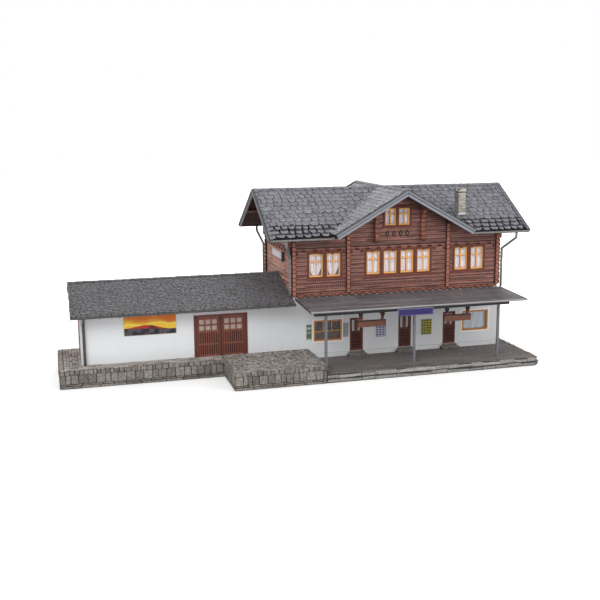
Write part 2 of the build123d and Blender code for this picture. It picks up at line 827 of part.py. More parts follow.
def make_rainwater():
    """Gutters on every eave and downpipes at the corners."""
    main_y = ridge_y - main_half_span
    shed_y = ridge_y - shed_half_span
    spans = [(main_left + barge, station_mid - cross_half_span - gutter_end_gap),
             (station_mid + cross_half_span + gutter_end_gap, main_right - barge)]
    gutters = [gutter(main_y, main_eave, x0, x1) for x0, x1 in spans]
    gutters.append(gutter(shed_y, shed_eave, shed_left - shed_verge, station_left))
    add("gutters", *gutters, *[mirrored(g) for g in gutters])
    main_low = main_eave - gutter_drop - gutter_radius
    wall_y = -pipe_corner
    corner_pipes = []
    for reach in (pipe_outlet_front, pipe_outlet_back):
        for x, outward in ((station_left, -1), (station_right, 1)):
            outlet = (x + outward * reach, main_y - gutter_radius)
            corner = x + outward * pipe_corner
            foot = (canopy_back_top if outward > 0 else upper_floor_level) + pipe_foot_gap
            corner_pipes.append(pipe([(*outlet, main_low), (*outlet, main_low - pipe_stub),
                                      (corner, wall_y, main_low - pipe_elbow_drop),
                                      (corner, wall_y, foot)]))
    shed_pipes = []
    shed_low = shed_eave - gutter_drop - gutter_radius
    x = shed_left + shed_pipe_inset
    for foot in (platform_height, pipe_foot_gap):
        shed_pipes.append(pipe([(x, shed_y - gutter_radius, shed_low),
                                (x, shed_y - gutter_radius, shed_low - shed_pipe_stub),
                                (x, wall_y, shed_low - shed_pipe_elbow_drop),
                                (x, wall_y, foot)]))
    add("downpipes", *corner_pipes[:2], shed_pipes[0],
        *[mirrored(p) for p in (*corner_pipes[2:], shed_pipes[1])])


def make_trim():
    """Joist ends, ledge boards, gable brackets and purlins."""
    inner = station_mid - cross_wall_offset
    outer = station_mid + cross_wall_offset
    half = log_wall / 2
    spans = [(station_left + log_wall, inner - half), (inner + half, outer - half),
             (outer + half, station_right - log_wall)]
    count = math.floor((station_length - 2 * log_wall) / joist_pitch)
    joists = [block(x - joist_width / 2, x + joist_width / 2, -joist_reach, log_groove,
                    wall_foot, upper_floor_level)
              for x in window_row(station_mid, count, joist_pitch)]
    add("joist_ends", *joists, *[mirrored(joist) for joist in joists])
    ledges = [block(a, b, -ledge_reach, 0, attic_floor_level - ledge_height,
                    attic_floor_level) for a, b in spans]
    add("ledge_boards", *ledges, *[mirrored(ledge) for ledge in ledges])
    # Purlins stand out of the gable walls and carry the overhangs.
    bars = []
    for offset in (-main_purlin_offset, 0, main_purlin_offset):
        low = purlin_bottom(main_ridge, main_drop, main_slope, offset)
        y = ridge_y + offset
        for x0, x1 in ((main_left + barge, station_left), (station_right, main_right - barge)):
            bars.append(block(x0, x1, y - purlin / 2, y + purlin / 2, low, low + purlin))
    brackets = []
    for offset in (-bracket_offset, 0, bracket_offset):
        low = purlin_bottom(cross_ridge, cross_drop, cross_slope, offset)
        x = station_mid + offset
        bar = block(x - purlin / 2, x + purlin / 2, cross_front + barge, 0, low, low + purlin)
        bars += [bar, mirrored(bar)]
        if offset:
            bracket = gable_bracket(x, low)
            brackets += [bracket, mirrored(bracket)]
    add("roof_purlins", *bars)
    add("gable_brackets", *brackets)


def make_signs():
    """Boards and plates fixed flat on the walls."""
    low = platform_height + billboard_rise
    add("billboard", block(billboard_left, billboard_left + billboard_width, -sign_sheet, 0,
                           low, low + billboard_height))
    low = platform_height + goods_height
    goods_sign = block(goods_left, goods_left + goods_width, -sign_sheet, 0, low,
                       low + goods_sign_height)
    notices = []
    for share, width, rise, height in notice_places:
        centre = station_left + share * station_length
        low = base_height + rise
        notices.append(block(centre - width / 2, centre + width / 2, -sign_sheet, 0, low,
                             low + height))
    add("notice_boards", *notices)
    low = upper_floor_level + gable_sign_rise
    gable_sign = block(station_left - sign_sheet, station_left, gable_sign_y,
                       gable_sign_y + gable_sign_length, low, low + gable_sign_height)
    add("name_boards", platform_sign(), goods_sign, gable_sign)


def make_chimney():
    """Brick chimney with a cap, cut to stand on the front slope."""
    x0 = station_left + chimney_share * station_length - chimney_width / 2
    x1 = x0 + chimney_width
    y0 = chimney_front
    y1 = chimney_front + chimney_depth
    chimney_top = main_ridge - chimney_below_ridge
    stack = block(x0, x1, y0, y1, main_eave, chimney_top - chimney_cap)
    reach = chimney_cap_reach
    cap = block(x0 - reach, x1 + reach, y0 - reach, y1 + reach, chimney_top - chimney_cap,
                chimney_top)
    reach = chimney_collar_reach
    collar = block(x0 - reach, x1 + reach, y0 - reach, y1 + reach,
                   chimney_top - chimney_cap - chimney_collar, chimney_top - chimney_cap)
    main_outer = gable_prism("x", ridge_y, main_half_span, main_ridge, main_slope, 0,
                             main_left, main_right)
    add("chimney", (stack + collar + cap) - main_outer)


make_ground_works()
make_floors()
make_shed()
make_ground_walls()
make_log_storey()
make_windows()
make_doors()
make_canopy()
make_trim()
make_signs()
make_roofs()
make_rainwater()
make_barge_boards()
make_chimney()

# ---- Export, with the origin at the middle of the footprint ----
shift = Pos(-main_right / 2, (ramp_front - cross_back) / 2, 0)
os.makedirs("parts", exist_ok=True)
for name, solids in parts.items():
    moved = [shift * solid for solid in solids]
    shape = moved[0] if len(moved) == 1 else Compound(children=moved)
    export_step(shape, f"parts/{name}.step")
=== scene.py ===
"""Finishes, slates, timber, windows and stonework of a model railway station.

Everything is laid on the packed frame, with +Z up and +X along the platform from the goods
shed to the station. Shapes are worked out in millimetres and made in metres.
"""

import math

import bmesh
import bpy
import numpy as np
from bpy.props import FloatProperty, FloatVectorProperty, PointerProperty
from mathutils import Matrix, Vector


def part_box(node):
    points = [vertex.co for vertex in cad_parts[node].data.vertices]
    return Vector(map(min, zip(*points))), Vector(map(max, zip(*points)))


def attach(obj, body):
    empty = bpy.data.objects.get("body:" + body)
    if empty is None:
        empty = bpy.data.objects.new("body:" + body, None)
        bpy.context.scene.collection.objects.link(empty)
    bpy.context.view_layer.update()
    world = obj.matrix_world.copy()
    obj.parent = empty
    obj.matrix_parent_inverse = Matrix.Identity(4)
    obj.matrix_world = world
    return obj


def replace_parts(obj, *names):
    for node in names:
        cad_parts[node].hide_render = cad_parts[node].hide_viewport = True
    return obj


bl_info = {
    "name": "Station building finishes",
    "version": (1, 0, 0),
    "blender": (4, 5, 0),
    "location": "View3D > Sidebar > Station",
    "description": "Slates, log work, windows, stonework and stage for a model station",
    "category": "Object",
}

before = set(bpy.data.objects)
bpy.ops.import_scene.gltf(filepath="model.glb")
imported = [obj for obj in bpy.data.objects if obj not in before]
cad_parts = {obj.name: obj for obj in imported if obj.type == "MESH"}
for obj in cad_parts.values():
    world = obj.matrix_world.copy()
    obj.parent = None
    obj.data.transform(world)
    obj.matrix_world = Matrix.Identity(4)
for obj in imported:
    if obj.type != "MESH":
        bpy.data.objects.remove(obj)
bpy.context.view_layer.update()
MM = 0.001


# ---- Places read from the frame ----
def node_box(node):
    """Lowest and highest corner of a frame node as arrays, in millimetres."""
    low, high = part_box(node)
    return np.array(low, float) / MM, np.array(high, float) / MM


WALL_LOW, WALL_HIGH = node_box("station_front_wall")
LEFT, FRONT = WALL_LOW[0], WALL_LOW[1]
RIGHT = WALL_HIGH[0]
BACK = node_box("station_back_wall")[1][1]
MID = (LEFT + RIGHT) / 2
RIDGE_Y = (FRONT + BACK) / 2
LENGTH = RIGHT - LEFT
BASE_TOP = node_box("station_base")[1][2]
LOG_FLOOR = node_box("joist_ends")[1][2]
ATTIC_FLOOR = node_box("attic_floor")[1][2]
SHED_LEFT = node_box("shed_front_wall")[0][0]
PLATFORM_LOW, PLATFORM_HIGH = node_box("loading_platform")
RAMP_LOW, RAMP_HIGH = node_box("loading_ramp")

# ---- Sizes shared with the frame's construction ----
MAIN_SLOPE = 0.6025
CROSS_SLOPE = 0.5645
SHED_SLOPE = 0.3006
CANOPY_SLOPE = 2.1 / 45.1
ROOF_SHEET = 2.0
SHED_SHEET = 1.8
LOG_COURSE = 3.4
LOG_WALL = 3.0
CASING = 1.5
CROSS_WALL = 41.5
CLOTH = 0.08
# How far trim reaches into the wall that it lies on.
INTO_WALL = -0.4


class Opening:
    """A row of equal windows or doors: centres along a wall, width, sill level and height."""

    def __init__(self, centres, width, sill, height):
        self.centres = np.array(centres, float)
        self.width, self.sill, self.height = width, sill, height

    def left(self):
        """The first one's left edge."""
        return self.centres[0] - self.width / 2

    def right(self):
        """The last one's right edge."""
        return self.centres[-1] + self.width / 2

    def mirrored(self):
        """The same row as it lies along the opposite wall, whose u runs the other way."""
        return Opening(-self.centres[::-1], self.width, self.sill, self.height)


def row_of(middle, count, pitch):
    """Centres of a row at a pitch, from the wall's middle."""
    return middle + (np.arange(count) - (count - 1) / 2) * pitch


def at_shares(*shares):
    """Places on the front, given as shares of its length, from the wall's middle."""
    return (np.array(shares) - 0.5) * LENGTH


UPPER_SILL = LOG_FLOOR + 13.4
ATTIC_SILL = ATTIC_FLOOR + 13.0
GROUND_SILL = BASE_TOP + 13.0
DOOR_SILL = BASE_TOP + 3.5
LEFT_GROUP, MIDDLE_GROUP, RIGHT_GROUP, SIDE_GROUP = (
    Opening(row_of(middle, count, 14.0), 10.9, UPPER_SILL, 17.9)
    for middle, count in ((-60.2, 2), (0, 4), (60.2, 2), (0, 2)))
ATTIC_GROUP = Opening(row_of(-1.2, 2, 11.3), 9.1, ATTIC_SILL, 13.0)
FRAME_BAR = 0.9
GROUND_BAR = 1.35
GROUND_GROUP = Opening(at_shares(0.1645, 0.888), 22.8, GROUND_SILL, 16.6)
DOORS = Opening(at_shares(0.300, 0.5345, 0.7557), 10.8, DOOR_SILL, 26.3)
REAR_DOOR = Opening(-DOORS.centres[1:2], 10.8, DOOR_SILL, 26.3)


class Face:
    """A flat side of the building: a corner, the way along, the way up and the way out."""

    def __init__(self, corner, along, up):
        self.corner, self.along, self.up = (np.array(part, float) for part in (corner, along, up))
        self.out = np.cross(self.along, self.up)

    def place(self, points):
        """Corner plus u times along, v times up and height times out, for (u, v, height)."""
        points = np.asarray(points, float)
        return (self.corner + points[..., 0:1] * self.along + points[..., 1:2] * self.up
                + points[..., 2:3] * self.out)


def upright(x, y, way_x, way_y, level=0.0):
    """An upright face through a point, along a level way."""
    return Face((x, y, level), (way_x, way_y, 0), (0, 0, 1))


def lying(x, y, level):
    """A level face through a point, whose u and v are along x and y."""
    return Face((x, y, level), (1, 0, 0), (0, 1, 0))


WORLD = lying(0, 0, 0)
FRONT_FACE = upright(MID, FRONT, 1, 0)
BACK_FACE = upright(MID, BACK, -1, 0)
LEFT_FACE = upright(LEFT, RIDGE_Y, 0, -1)
RIGHT_FACE = upright(RIGHT, RIDGE_Y, 0, 1)
DOOR_ROWS = ((FRONT_FACE, DOORS), (BACK_FACE, REAR_DOOR))


# ---- Settings ----
def length(name, description, millimetres):
    """A length setting, given in millimetres and kept in metres."""
    return FloatProperty(name=name, description=description, default=millimetres * MM, min=0.0,
                         unit="LENGTH", precision=5)


def colour(name, description, *rgb):
    """A colour setting in linear light."""
    return FloatVectorProperty(name=name, description=description, default=rgb, size=3, subtype="COLOR",
                               min=0.0, max=1.0)


def share(name, description, value):
    """A setting between nothing and all."""
    return FloatProperty(name=name, description=description, default=value, min=0.0, max=1.0,
                         subtype="FACTOR")


class RoofSettings(bpy.types.PropertyGroup):
    """Sizes and colours of the slated roofs."""

    slate_width: length("Slate width", "Width of a slate on the main roof", 6.3)
    slate_course: length("Slate course", "Exposed height of a course on the main roof", 5.0)
    slate_thickness: length("Slate thickness", "Thickness of a main roof slate", 0.34)
    cross_width: length("Cross slate width", "Width of a slate on the cross roof", 5.2)
    cross_course: length("Cross course", "Exposed height of a course on the cross roof", 3.9)
    shed_width: length("Shed slate width", "Width of a slate on the goods shed", 3.7)
    shed_course: length("Shed course", "Exposed height of a course on the goods shed", 2.35)
    eave_gap: length("Eave gap", "Gap between the large slates of the lowest courses", 1.2)
    valley_lap: length("Valley lap", "Reach of the cross roof's slates over the main's", 2.7)
    slate_colour: colour("Slate", "Colour of the station's slates", 0.180, 0.180, 0.203)
    shed_colour: colour("Shed slate", "Colour of the shed's slates", 0.119, 0.114, 0.121)
    # Near-black deck: painted shadow in the gaps between slates.
    deck_shadow_colour: colour("Deck", "Colour of the boards under the slates", 0.012, 0.010, 0.010)


class TimberSettings(bpy.types.PropertyGroup):
    """Sizes and colours of the log storey and other woodwork."""

    frieze_pitch: length("Frieze pitch", "Spacing of the carved arches", 8.2)
    frieze_radius: length("Arch radius", "Outer radius of a carved arch", 3.7)
    dentil_pitch: length("Dentil pitch", "Spacing of the teeth below the windows", 1.45)
    log_colour: colour("Logs", "Colour of the log walls", 0.305, 0.139, 0.114)
    end_colour: colour("Log ends", "Colour of the log ends and carvings", 0.33, 0.122, 0.082)
    plank_colour: colour("Side planks", "Colour of the gable walls", 0.54, 0.264, 0.189)
    casing_colour: colour("Casings", "Colour of the window casings", 0.155, 0.045, 0.030)
    door_colour: colour("Doors", "Colour of the doors", 0.085, 0.024, 0.017)
    goods_colour: colour("Goods doors", "Colour of the goods doors", 0.22, 0.069, 0.046)


class WindowSettings(bpy.types.PropertyGroup):
    """Sizes and colours of the windows."""

    bar: length("Bar", "Width of a window bar", 0.85)
    bar_share: share("Cross bar height", "Level of the cross bar in the window", 0.66)
    ochre: colour("Upper frames", "Colour of the upper window frames", 0.93, 0.46, 0.12)
    orange: colour("Ground frames", "Colour of the ground window frames", 0.55, 0.21, 0.045)
    lace: colour("Curtains", "Colour of the curtains", 0.90, 0.90, 1.0)
    net: colour("Net curtain", "Colour of the net curtain", 0.62, 0.68, 0.73)
    pane: colour("Door panes", "Colour of the frosted door panes", 0.56, 0.43, 0.37)


class WallSettings(bpy.types.PropertyGroup):
    """Sizes and colours of the plastered walls."""

    plinth: length("Plinth", "Height of the plinth band", 3.2)
    plaster: colour("Plaster", "Colour of the plaster", 0.76, 0.775, 0.79)


class StoneSettings(bpy.types.PropertyGroup):
    """Sizes and colours of the ground works."""

    cobble: length("Cobble", "Width of a cobble on the ramp", 1.5)
    stone: colour("Stone", "Colour of the platform stones", 0.200, 0.180, 0.165)
    mortar: colour("Mortar", "Colour of the joints", 0.020, 0.018, 0.016)
    kerb: colour("Kerb", "Colour of the kerb stones", 0.335, 0.32, 0.305)
    asphalt: colour("Asphalt", "Colour of the platform's surface", 0.155, 0.140, 0.134)


class TrimSettings(bpy.types.PropertyGroup):
    """Colours of barge boards, gutters, canopy and chimney."""

    barge: colour("Barge boards", "Colour of the barge boards", 0.190, 0.198, 0.222)
    gutter: colour("Gutters", "Colour of the gutters and pipes", 0.25, 0.245, 0.24)
    post: colour("Posts", "Colour of the canopy's posts", 0.163, 0.168, 0.186)
    canopy: colour("Canopy", "Colour of the canopy's roof", 0.138, 0.128, 0.138)
    brick: colour("Brick", "Colour of the chimney's bricks", 0.39, 0.355, 0.325)


class SignSettings(bpy.types.PropertyGroup):
    """Colours of the signs and boards."""

    blue: colour("Station sign", "Colour of the platform sign", 0.022, 0.014, 0.105)
    pale: colour("Pale sign", "Colour of the pale signs", 0.68, 0.63, 0.69)
    border: length("Border", "Width of a sign's border", 0.45)


class StageSettings(bpy.types.PropertyGroup):
    """Light, floor and camera."""

    floor: colour("Floor", "Colour of the floor", 0.86, 0.86, 0.86)
    ambient: share("Ambient", "Strength of the light from all round", 0.62)
    key: FloatProperty(name="Key", description="Power of the main soft light in watts", default=11.0,
                       min=0.0)
    fill: FloatProperty(name="Fill", description="Power of the fill light in watts", default=5.0, min=0.0)


# ---- Shapes as whole arrays ----
class Shape:
    """Points, faces and shade values of one piece, gathered as whole arrays."""

    def __init__(self):
        self.points, self.tones, self.rims, self.faces, self.slots = [], [], [], [], []
        self.total = 0

    def add(self, points, faces, tone=0.5, rim=0.6, material=0):
        """Adds bodies that share arrays of faces, each array with its material.

        The first axis of the points counts the bodies, and faces are numbered within one.
        Shades are given for each body or for each point.
        """
        points = np.asarray(points, float)
        points = points.reshape(len(points), -1, 3)
        count, each = points.shape[:2]
        self.points.append(points.reshape(-1, 3))
        for values, store in ((tone, self.tones), (rim, self.rims)):
            values = np.asarray(values, float)
            store.append(np.broadcast_to(values.reshape(*values.shape[:1], -1), (count, each)).ravel())
        starts = self.total + each * np.arange(count)[:, None, None]
        for rows, used in zip(faces, np.broadcast_to(material, len(faces))):
            self.faces.extend((rows + starts).reshape(-1, rows.shape[1]).tolist())
            self.slots.append(np.full(count * len(rows), used))
        self.total += count * each

    def piece(self, name, slot, *materials, smooth=False):
        """Makes the mesh object, which rides on the building."""
        mesh = bpy.data.meshes.new(name)
        mesh.from_pydata((np.concatenate(self.points) * MM).tolist(), [], self.faces)
        for label, values in (("tone", self.tones), ("rim", self.rims)):
            attribute = mesh.attributes.new(label, "FLOAT", "POINT")
            attribute.data.foreach_set("value", np.concatenate(values).astype(np.float32))
        mesh.polygons.foreach_set("material_index", np.concatenate(self.slots).astype(np.int32))
        mesh.polygons.foreach_set("use_smooth", np.full(len(self.faces), smooth))
        for material in materials:
            mesh.materials.append(material)
        mesh.validate()
        mesh.update()
        piece = bpy.data.objects.new(name, mesh)
        bpy.context.scene.collection.objects.link(piece)
        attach(piece, "root")
        return piece


def columns(*values):
    """Arrays or numbers of one shape, side by side along a new last axis."""
    return np.stack(np.broadcast_arrays(*values), axis=-1)


SIGNS = np.array([(x, y, z) for x in (-1, 1) for y in (-1, 1) for z in (-1, 1)], float)


def block_template():
    """Faces of a chamfered block: 24 points, three to a corner, one on each face there."""
    places = (SIGNS[:, None, :] * (1 - 0.2 * (1 - np.eye(3)))).reshape(-1, 3)
    quads = []
    for axis in range(3):
        others = [i for i in range(3) if i != axis]
        for sign in (-1, 1):
            corners = np.nonzero(SIGNS[:, axis] == sign)[0]
            turn = np.arctan2(SIGNS[corners, others[1]], SIGNS[corners, others[0]])
            quads.append(corners[np.argsort(turn)] * 3 + axis)
        for near in np.nonzero(SIGNS[:, axis] == -1)[0]:
            far = near + (4, 2, 1)[axis]
            quads.append(np.array((near * 3 + others[0], far * 3 + others[0], far * 3 + others[1],
                                   near * 3 + others[1])))
    triangles = np.arange(24).reshape(8, 3)

    def outward(rows):
        """Turns round each face whose normal points at the block's middle."""
        corner = places[rows]
        normal = np.cross(corner[:, 1] - corner[:, 0], corner[:, 2] - corner[:, 0])
        inward = (normal * corner.mean(axis=1)).sum(axis=1) < 0
        return np.where(inward[:, None], rows[:, ::-1], rows)

    return outward(np.array(quads)), outward(triangles)


BLOCK_QUADS, BLOCK_TRIANGLES = block_template()


def add_blocks(shape, centres, halves, chamfer, face=WORLD, wobble=0.0, rng=None, turn=None,
               clip=None, **details):
    """Chamfered blocks at (u, v, height) on a face.

    A point is the centre plus its corner's signs times the half sizes, drawn in by the
    chamfer along the two directions other than its own. Turn is an angle in the face's
    plane, wobble a random shift of every point, and clip the lowest and highest (u, v).
    """
    centres = np.atleast_2d(np.asarray(centres, float))
    halves = np.broadcast_to(np.asarray(halves, float), centres.shape)
    chamfer = np.minimum(chamfer, halves.min(axis=1) * 0.8).reshape(-1, 1, 1, 1)
    offset = SIGNS[:, None] * halves[:, None, None] - SIGNS[:, None] * (1 - np.eye(3)) * chamfer
    if wobble:
        offset = offset + rng.uniform(-wobble, wobble, (len(centres), 8, 1, 3))
    if turn is not None:
        u, v = offset[..., 0], offset[..., 1]
        offset = columns(u * math.cos(turn) - v * math.sin(turn), u * math.sin(turn) + v * math.cos(turn),
                         offset[..., 2])
    points = centres[:, None, None] + offset
    if clip is not None:
        points[..., :2] = np.clip(points[..., :2], *clip)
    shape.add(face.place(points), (BLOCK_QUADS, BLOCK_TRIANGLES), **details)


def ring_sides(corners):
    """The four-cornered faces between an outline and the same outline numbered after it."""
    here = np.arange(corners)
    after = (here + 1) % corners
    return columns(here, here + corners, after + corners, after)


def add_plates(shape, outlines, low, high, face=WORLD, rim=0.6, **details):
    """Closed plates: each outline of (u, v), counter-clockwise, from height low to high."""
    outlines = np.asarray(outlines, float)
    u, v = outlines[..., 0], outlines[..., 1]
    corners = u.shape[1]
    here = np.arange(corners)
    rims = np.tile(np.broadcast_to(rim, u.shape), 2)
    shape.add(face.place(np.concatenate([columns(u, v, high), columns(u, v, low)], axis=1)),
              (np.stack([here, here[::-1] + corners]), ring_sides(corners)), rim=rims, **details)


def add_sweeps(shape, paths, across, up, profile, **details):
    """Closed bars: a profile (a, b) carried along each path of points.

    A point is the path's point plus a times the way across there plus b times the way up.
    The profile runs counter-clockwise as seen against the path.
    """
    paths = np.asarray(paths, float)
    across, up = (np.broadcast_to(way, paths.shape)[:, :, None] for way in (across, up))
    a, b = np.asarray(profile, float).T[..., None]
    steps, corners = paths.shape[1], len(a)
    start = np.arange(steps - 1)[:, None, None] * corners
    sides = (start + ring_sides(corners)[:, (0, 3, 2, 1)]).reshape(-1, 4)
    here = np.arange(corners)
    shape.add(paths[:, :, None] + a * across + b * up,
              (sides, np.stack([here[::-1], (steps - 1) * corners + here])), **details)


def add_sheet(shape, points, behind, tone):
    """Closed thin sheet: a grid of points, the same grid moved behind it, and a rim between."""
    number = np.arange(points[..., 0].size).reshape(points.shape[:2])
    front = columns(number[:-1, :-1], number[:-1, 1:], number[1:, 1:], number[1:, :-1]).reshape(-1, 4)
    border = np.concatenate([number[0, :-1], number[:-1, -1], number[-1, :0:-1], number[:0:-1, 0]])
    after = np.roll(border, -1)
    sides = columns(after, border, border + number.size, after + number.size)
    shape.add([[points, points + behind]], [np.concatenate([front, front[:, ::-1] + number.size, sides])],
              tone=[[tone, tone]])


def add_boxes(shape, lows, highs, chamfer=0.1, **details):
    """Chamfered blocks given by two opposite corners (u, v, height)."""
    lows, highs = np.atleast_2d(lows), np.atleast_2d(highs)
    add_blocks(shape, (lows + highs) / 2, np.abs(highs - lows) / 2, chamfer, **details)


def add_spans(shape, face, spans, origin=(0, 0), chamfer=0.1, **details):
    """Blocks on a face, each from u0 to u1, v0 to v1 and low to high, (u, v) from an origin."""
    ends = np.array(spans, float).reshape(-1, 3, 2) + np.append(origin, 0.0)[:, None]
    add_boxes(shape, ends[..., 0], ends[..., 1], chamfer, face=face, **details)


def add_ring(shape, centre, width, sill, height, bar, low, high, face, chamfer=0.1):
    """Four bars inside the edges of an opening."""
    half, inner = width / 2, width / 2 - bar
    add_spans(shape, face, [(-half, -inner, 0, height, low, high), (inner, half, 0, height, low, high),
                            (-inner, inner, 0, bar, low, high),
                            (-inner, inner, height - bar, height, low, high)], (centre, sill), chamfer)


def weld(piece):
    """Joins points that fell on the same place where a shape was cut off."""
    mesh = bmesh.new()
    mesh.from_mesh(piece.data)
    bmesh.ops.remove_doubles(mesh, verts=mesh.verts, dist=1e-7)
    bmesh.ops.dissolve_degenerate(mesh, edges=mesh.edges, dist=1e-7)
    mesh.to_mesh(piece.data)
    mesh.free()
    piece.data.update()


# ---- Finishes ----
class Finish:
    """A node material on object coordinates, whose colour is laid on layer by layer.

    Sizes are millimetres, and a colour that is laid on may be given as a multiple of the base.
    """

    def __init__(self, name, base, roughness, gloss=0.3):
        self.material = bpy.data.materials.new(name)
        self.material.use_nodes = True
        self.tree = self.material.node_tree
        self.shader = self.tree.nodes["Principled BSDF"]
        self.shader.inputs["Roughness"].default_value = roughness
        self.shader.inputs["Specular IOR Level"].default_value = gloss
        self.place = self.node("ShaderNodeTexCoord").outputs["Object"]
        self.base = self.colour = base
        self.normal = None

    def node(self, kind, inputs=(), **settings):
        """A new node with its settings and with its inputs, by name or number."""
        made = self.tree.nodes.new(kind)
        for key, value in settings.items():
            setattr(made, key, value)
        for key, value in dict(inputs).items():
            self.feed(made.inputs[key], value)
        return made

    def feed(self, socket, value):
        """Sets a socket to a number or colour, or links it to another node's output."""
        if isinstance(value, bpy.types.NodeSocket):
            self.tree.links.new(value, socket)
        elif isinstance(value, (int, float)):
            socket.default_value = value
        else:
            socket.default_value = (*value, 1.0)[:len(socket.default_value)]

    def texture(self, kind, size, stretch, inputs, **settings):
        """A texture node of a size, on coordinates multiplied by the stretch."""
        place = self.place
        if stretch:
            place = self.node("ShaderNodeMapping", {"Vector": place, "Scale": stretch}).outputs[0]
        return self.node(kind, {"Vector": place, "Scale": 1 / size / MM, **inputs}, **settings)

    def noise(self, size, detail=4.0, roughness=0.55, stretch=None, twist=0.0):
        """Cloudy value between 0 and 1 whose patches are about the given size."""
        return self.texture("ShaderNodeTexNoise", size, stretch, {
            "Detail": detail, "Roughness": roughness, "Distortion": twist}).outputs["Fac"]

    def cells(self, size, output="Color", stretch=None, jitter=1.0, feature="F1"):
        """Cell pattern: each cell's own colour, or the distance to the cell's edge."""
        return self.texture("ShaderNodeTexVoronoi", size, stretch, {"Randomness": jitter},
                            feature=feature).outputs[output]

    def axis(self, index):
        """One coordinate of the place, in metres."""
        return self.node("ShaderNodeSeparateXYZ", {"Vector": self.place}).outputs[index]

    def math(self, operation, first, second=0.0):
        """Arithmetic on one or two values."""
        return self.node("ShaderNodeMath", {0: first, 1: second}, operation=operation).outputs[0]

    def plus(self, first, second):
        """The sum of two values."""
        return self.math("ADD", first, second)

    def minus(self, first, second):
        """The first value less the second."""
        return self.math("SUBTRACT", first, second)

    def times(self, first, second):
        """The product of two values."""
        return self.math("MULTIPLY", first, second)

    def levels(self, value, low, high, start=0.0, end=1.0):
        """Value from low to high stretched to start to end, and held at both ends."""
        return self.node("ShaderNodeMapRange", dict(enumerate((value, low, high, start, end))),
                         interpolation_type="SMOOTHSTEP").outputs[0]

    def patches(self, low, high, *noise):
        """Patches of a noise: 0 where it is at the low level, 1 where it is at the high one."""
        return self.levels(self.noise(*noise), low, high)

    def along(self, index, start, end):
        """0 to 1 from one place to another along an axis."""
        return self.levels(self.axis(index), start * MM, end * MM)

    def stripes(self, index, pitch, width, offset=0.0):
        """1 on a line repeated at the pitch along an axis, 0 between the lines.

        The coordinate is divided by the pitch, its fraction is folded about one half, and
        the fold's ends within the line's share of the pitch become 1.
        """
        turns = self.math("DIVIDE", self.minus(self.axis(index), offset * MM), pitch * MM)
        fold = self.math("ABSOLUTE", self.minus(self.math("FRACT", turns), 0.5))
        edge = 0.5 - width / pitch / 2
        return self.levels(fold, edge - 0.4 * width / pitch, edge + 0.001)

    def gable_line(self, index, middle, ridge, slope):
        """Height of a gable's edge: the ridge less the slope times the distance aside."""
        aside = self.math("ABSOLUTE", self.minus(self.axis(index), middle * MM))
        return self.minus(ridge * MM, self.times(aside, slope))

    def mix(self, factor, first, second):
        """Colour mixed from first to second by the factor."""
        return self.node("ShaderNodeMix", {0: factor, 6: first, 7: second},
                         data_type="RGBA").outputs[2]

    def tint(self, factor, amount):
        """Makes the colour darker or lighter by the factor, 0.5 leaving it as it is."""
        bright = self.levels(factor, 0.0, 1.0, 1 - amount, 1 + amount)
        self.colour = self.node("ShaderNodeVectorMath", {0: self.colour, "Scale": bright},
                                operation="SCALE").outputs[0]

    def mottle(self, amount, *noise, **shape):
        """Tints by a noise, so that the colour wavers by the amount."""
        self.tint(self.noise(*noise, **shape), amount)

    def relief(self, depth, *noise, **shape):
        """Relief from a noise."""
        self.bump(self.noise(*noise, **shape), depth)

    def lay(self, mask, amount, colour):
        """Lays a colour over the present one where the mask, times the amount, says so."""
        if amount is not None:
            mask = self.times(mask, amount)
        self.colour = self.mix(mask, self.colour,
                               shade(self.base, colour) if np.isscalar(colour) else colour)

    def tone(self, name="tone"):
        """The piece's own shade value."""
        return self.node("ShaderNodeAttribute", attribute_name=name).outputs["Fac"]

    def bump(self, height, depth):
        """Relief of the given depth from a height between 0 and 1."""
        made = self.node("ShaderNodeBump", {"Distance": depth * MM, "Height": height})
        if self.normal is not None:
            self.feed(made.inputs["Normal"], self.normal)
        self.normal = made.outputs[0]

    def done(self, roughness=None):
        """Links colour, roughness and relief to the shader, and gives the material."""
        for name, value in (("Base Color", self.colour), ("Roughness", roughness),
                            ("Normal", self.normal)):
            if value is not None:
                self.feed(self.shader.inputs[name], value)
        return self.material


def shade(rgb, factor):
    """Colour multiplied by a factor."""
    return tuple(min(1.0, channel * factor) for channel in rgb)


def slate_finish(name, base, fleck_and_highlight=0.5, soot_and_shade=0.0):
    """Split stone: each slate its own shade, mottled, with pale flecks at its foot and darker towards
    its head.

    The flecks are partly wear and partly painted highlight along the lit foot edge, and the
    darkening is painted shadow under the next course. Soot also lies in patches round the
    chimney's foot, within 15 mm of it.
    """
    made = Finish(name, base, 0.62, 0.28)
    made.tint(made.tone(), 0.24)
    made.lay(made.patches(0.35, 0.7, 11), None, 1.12)
    made.mottle(0.45, 1.6, 5, 0.65)
    # Pale flecks near each slate's foot: partly wear, partly painted highlight on the lit foot edge.
    made.lay(made.times(made.patches(0.48, 0.66, 2.2, 3),
                       made.levels(made.tone("rim"), 0.75, 1.0)), fleck_and_highlight, 2.5)
    # Painted shadow towards each slate's head, under the next course.
    made.lay(made.levels(made.tone("rim"), 0.46, 0.34), 0.92, 0.08)
    if soot_and_shade:
        foot = (node_box("chimney")[0] + (-3, 0, 3)) * MM
        away = made.node("ShaderNodeVectorMath", {0: made.place, 1: foot}, operation="DISTANCE")
        near = made.levels(away.outputs["Value"], 15 * MM, 2 * MM)
        made.lay(made.times(near, made.patches(0.35, 0.6, 4, 4)), soot_and_shade, 0.15)
    made.relief(0.22, 1.1, 6, 0.7)
    made.relief(0.3, 4, 3, stretch=(1, 0.5, 0.5))
    return made.done(made.levels(made.noise(3), 0.3, 0.7, 0.52, 0.74))


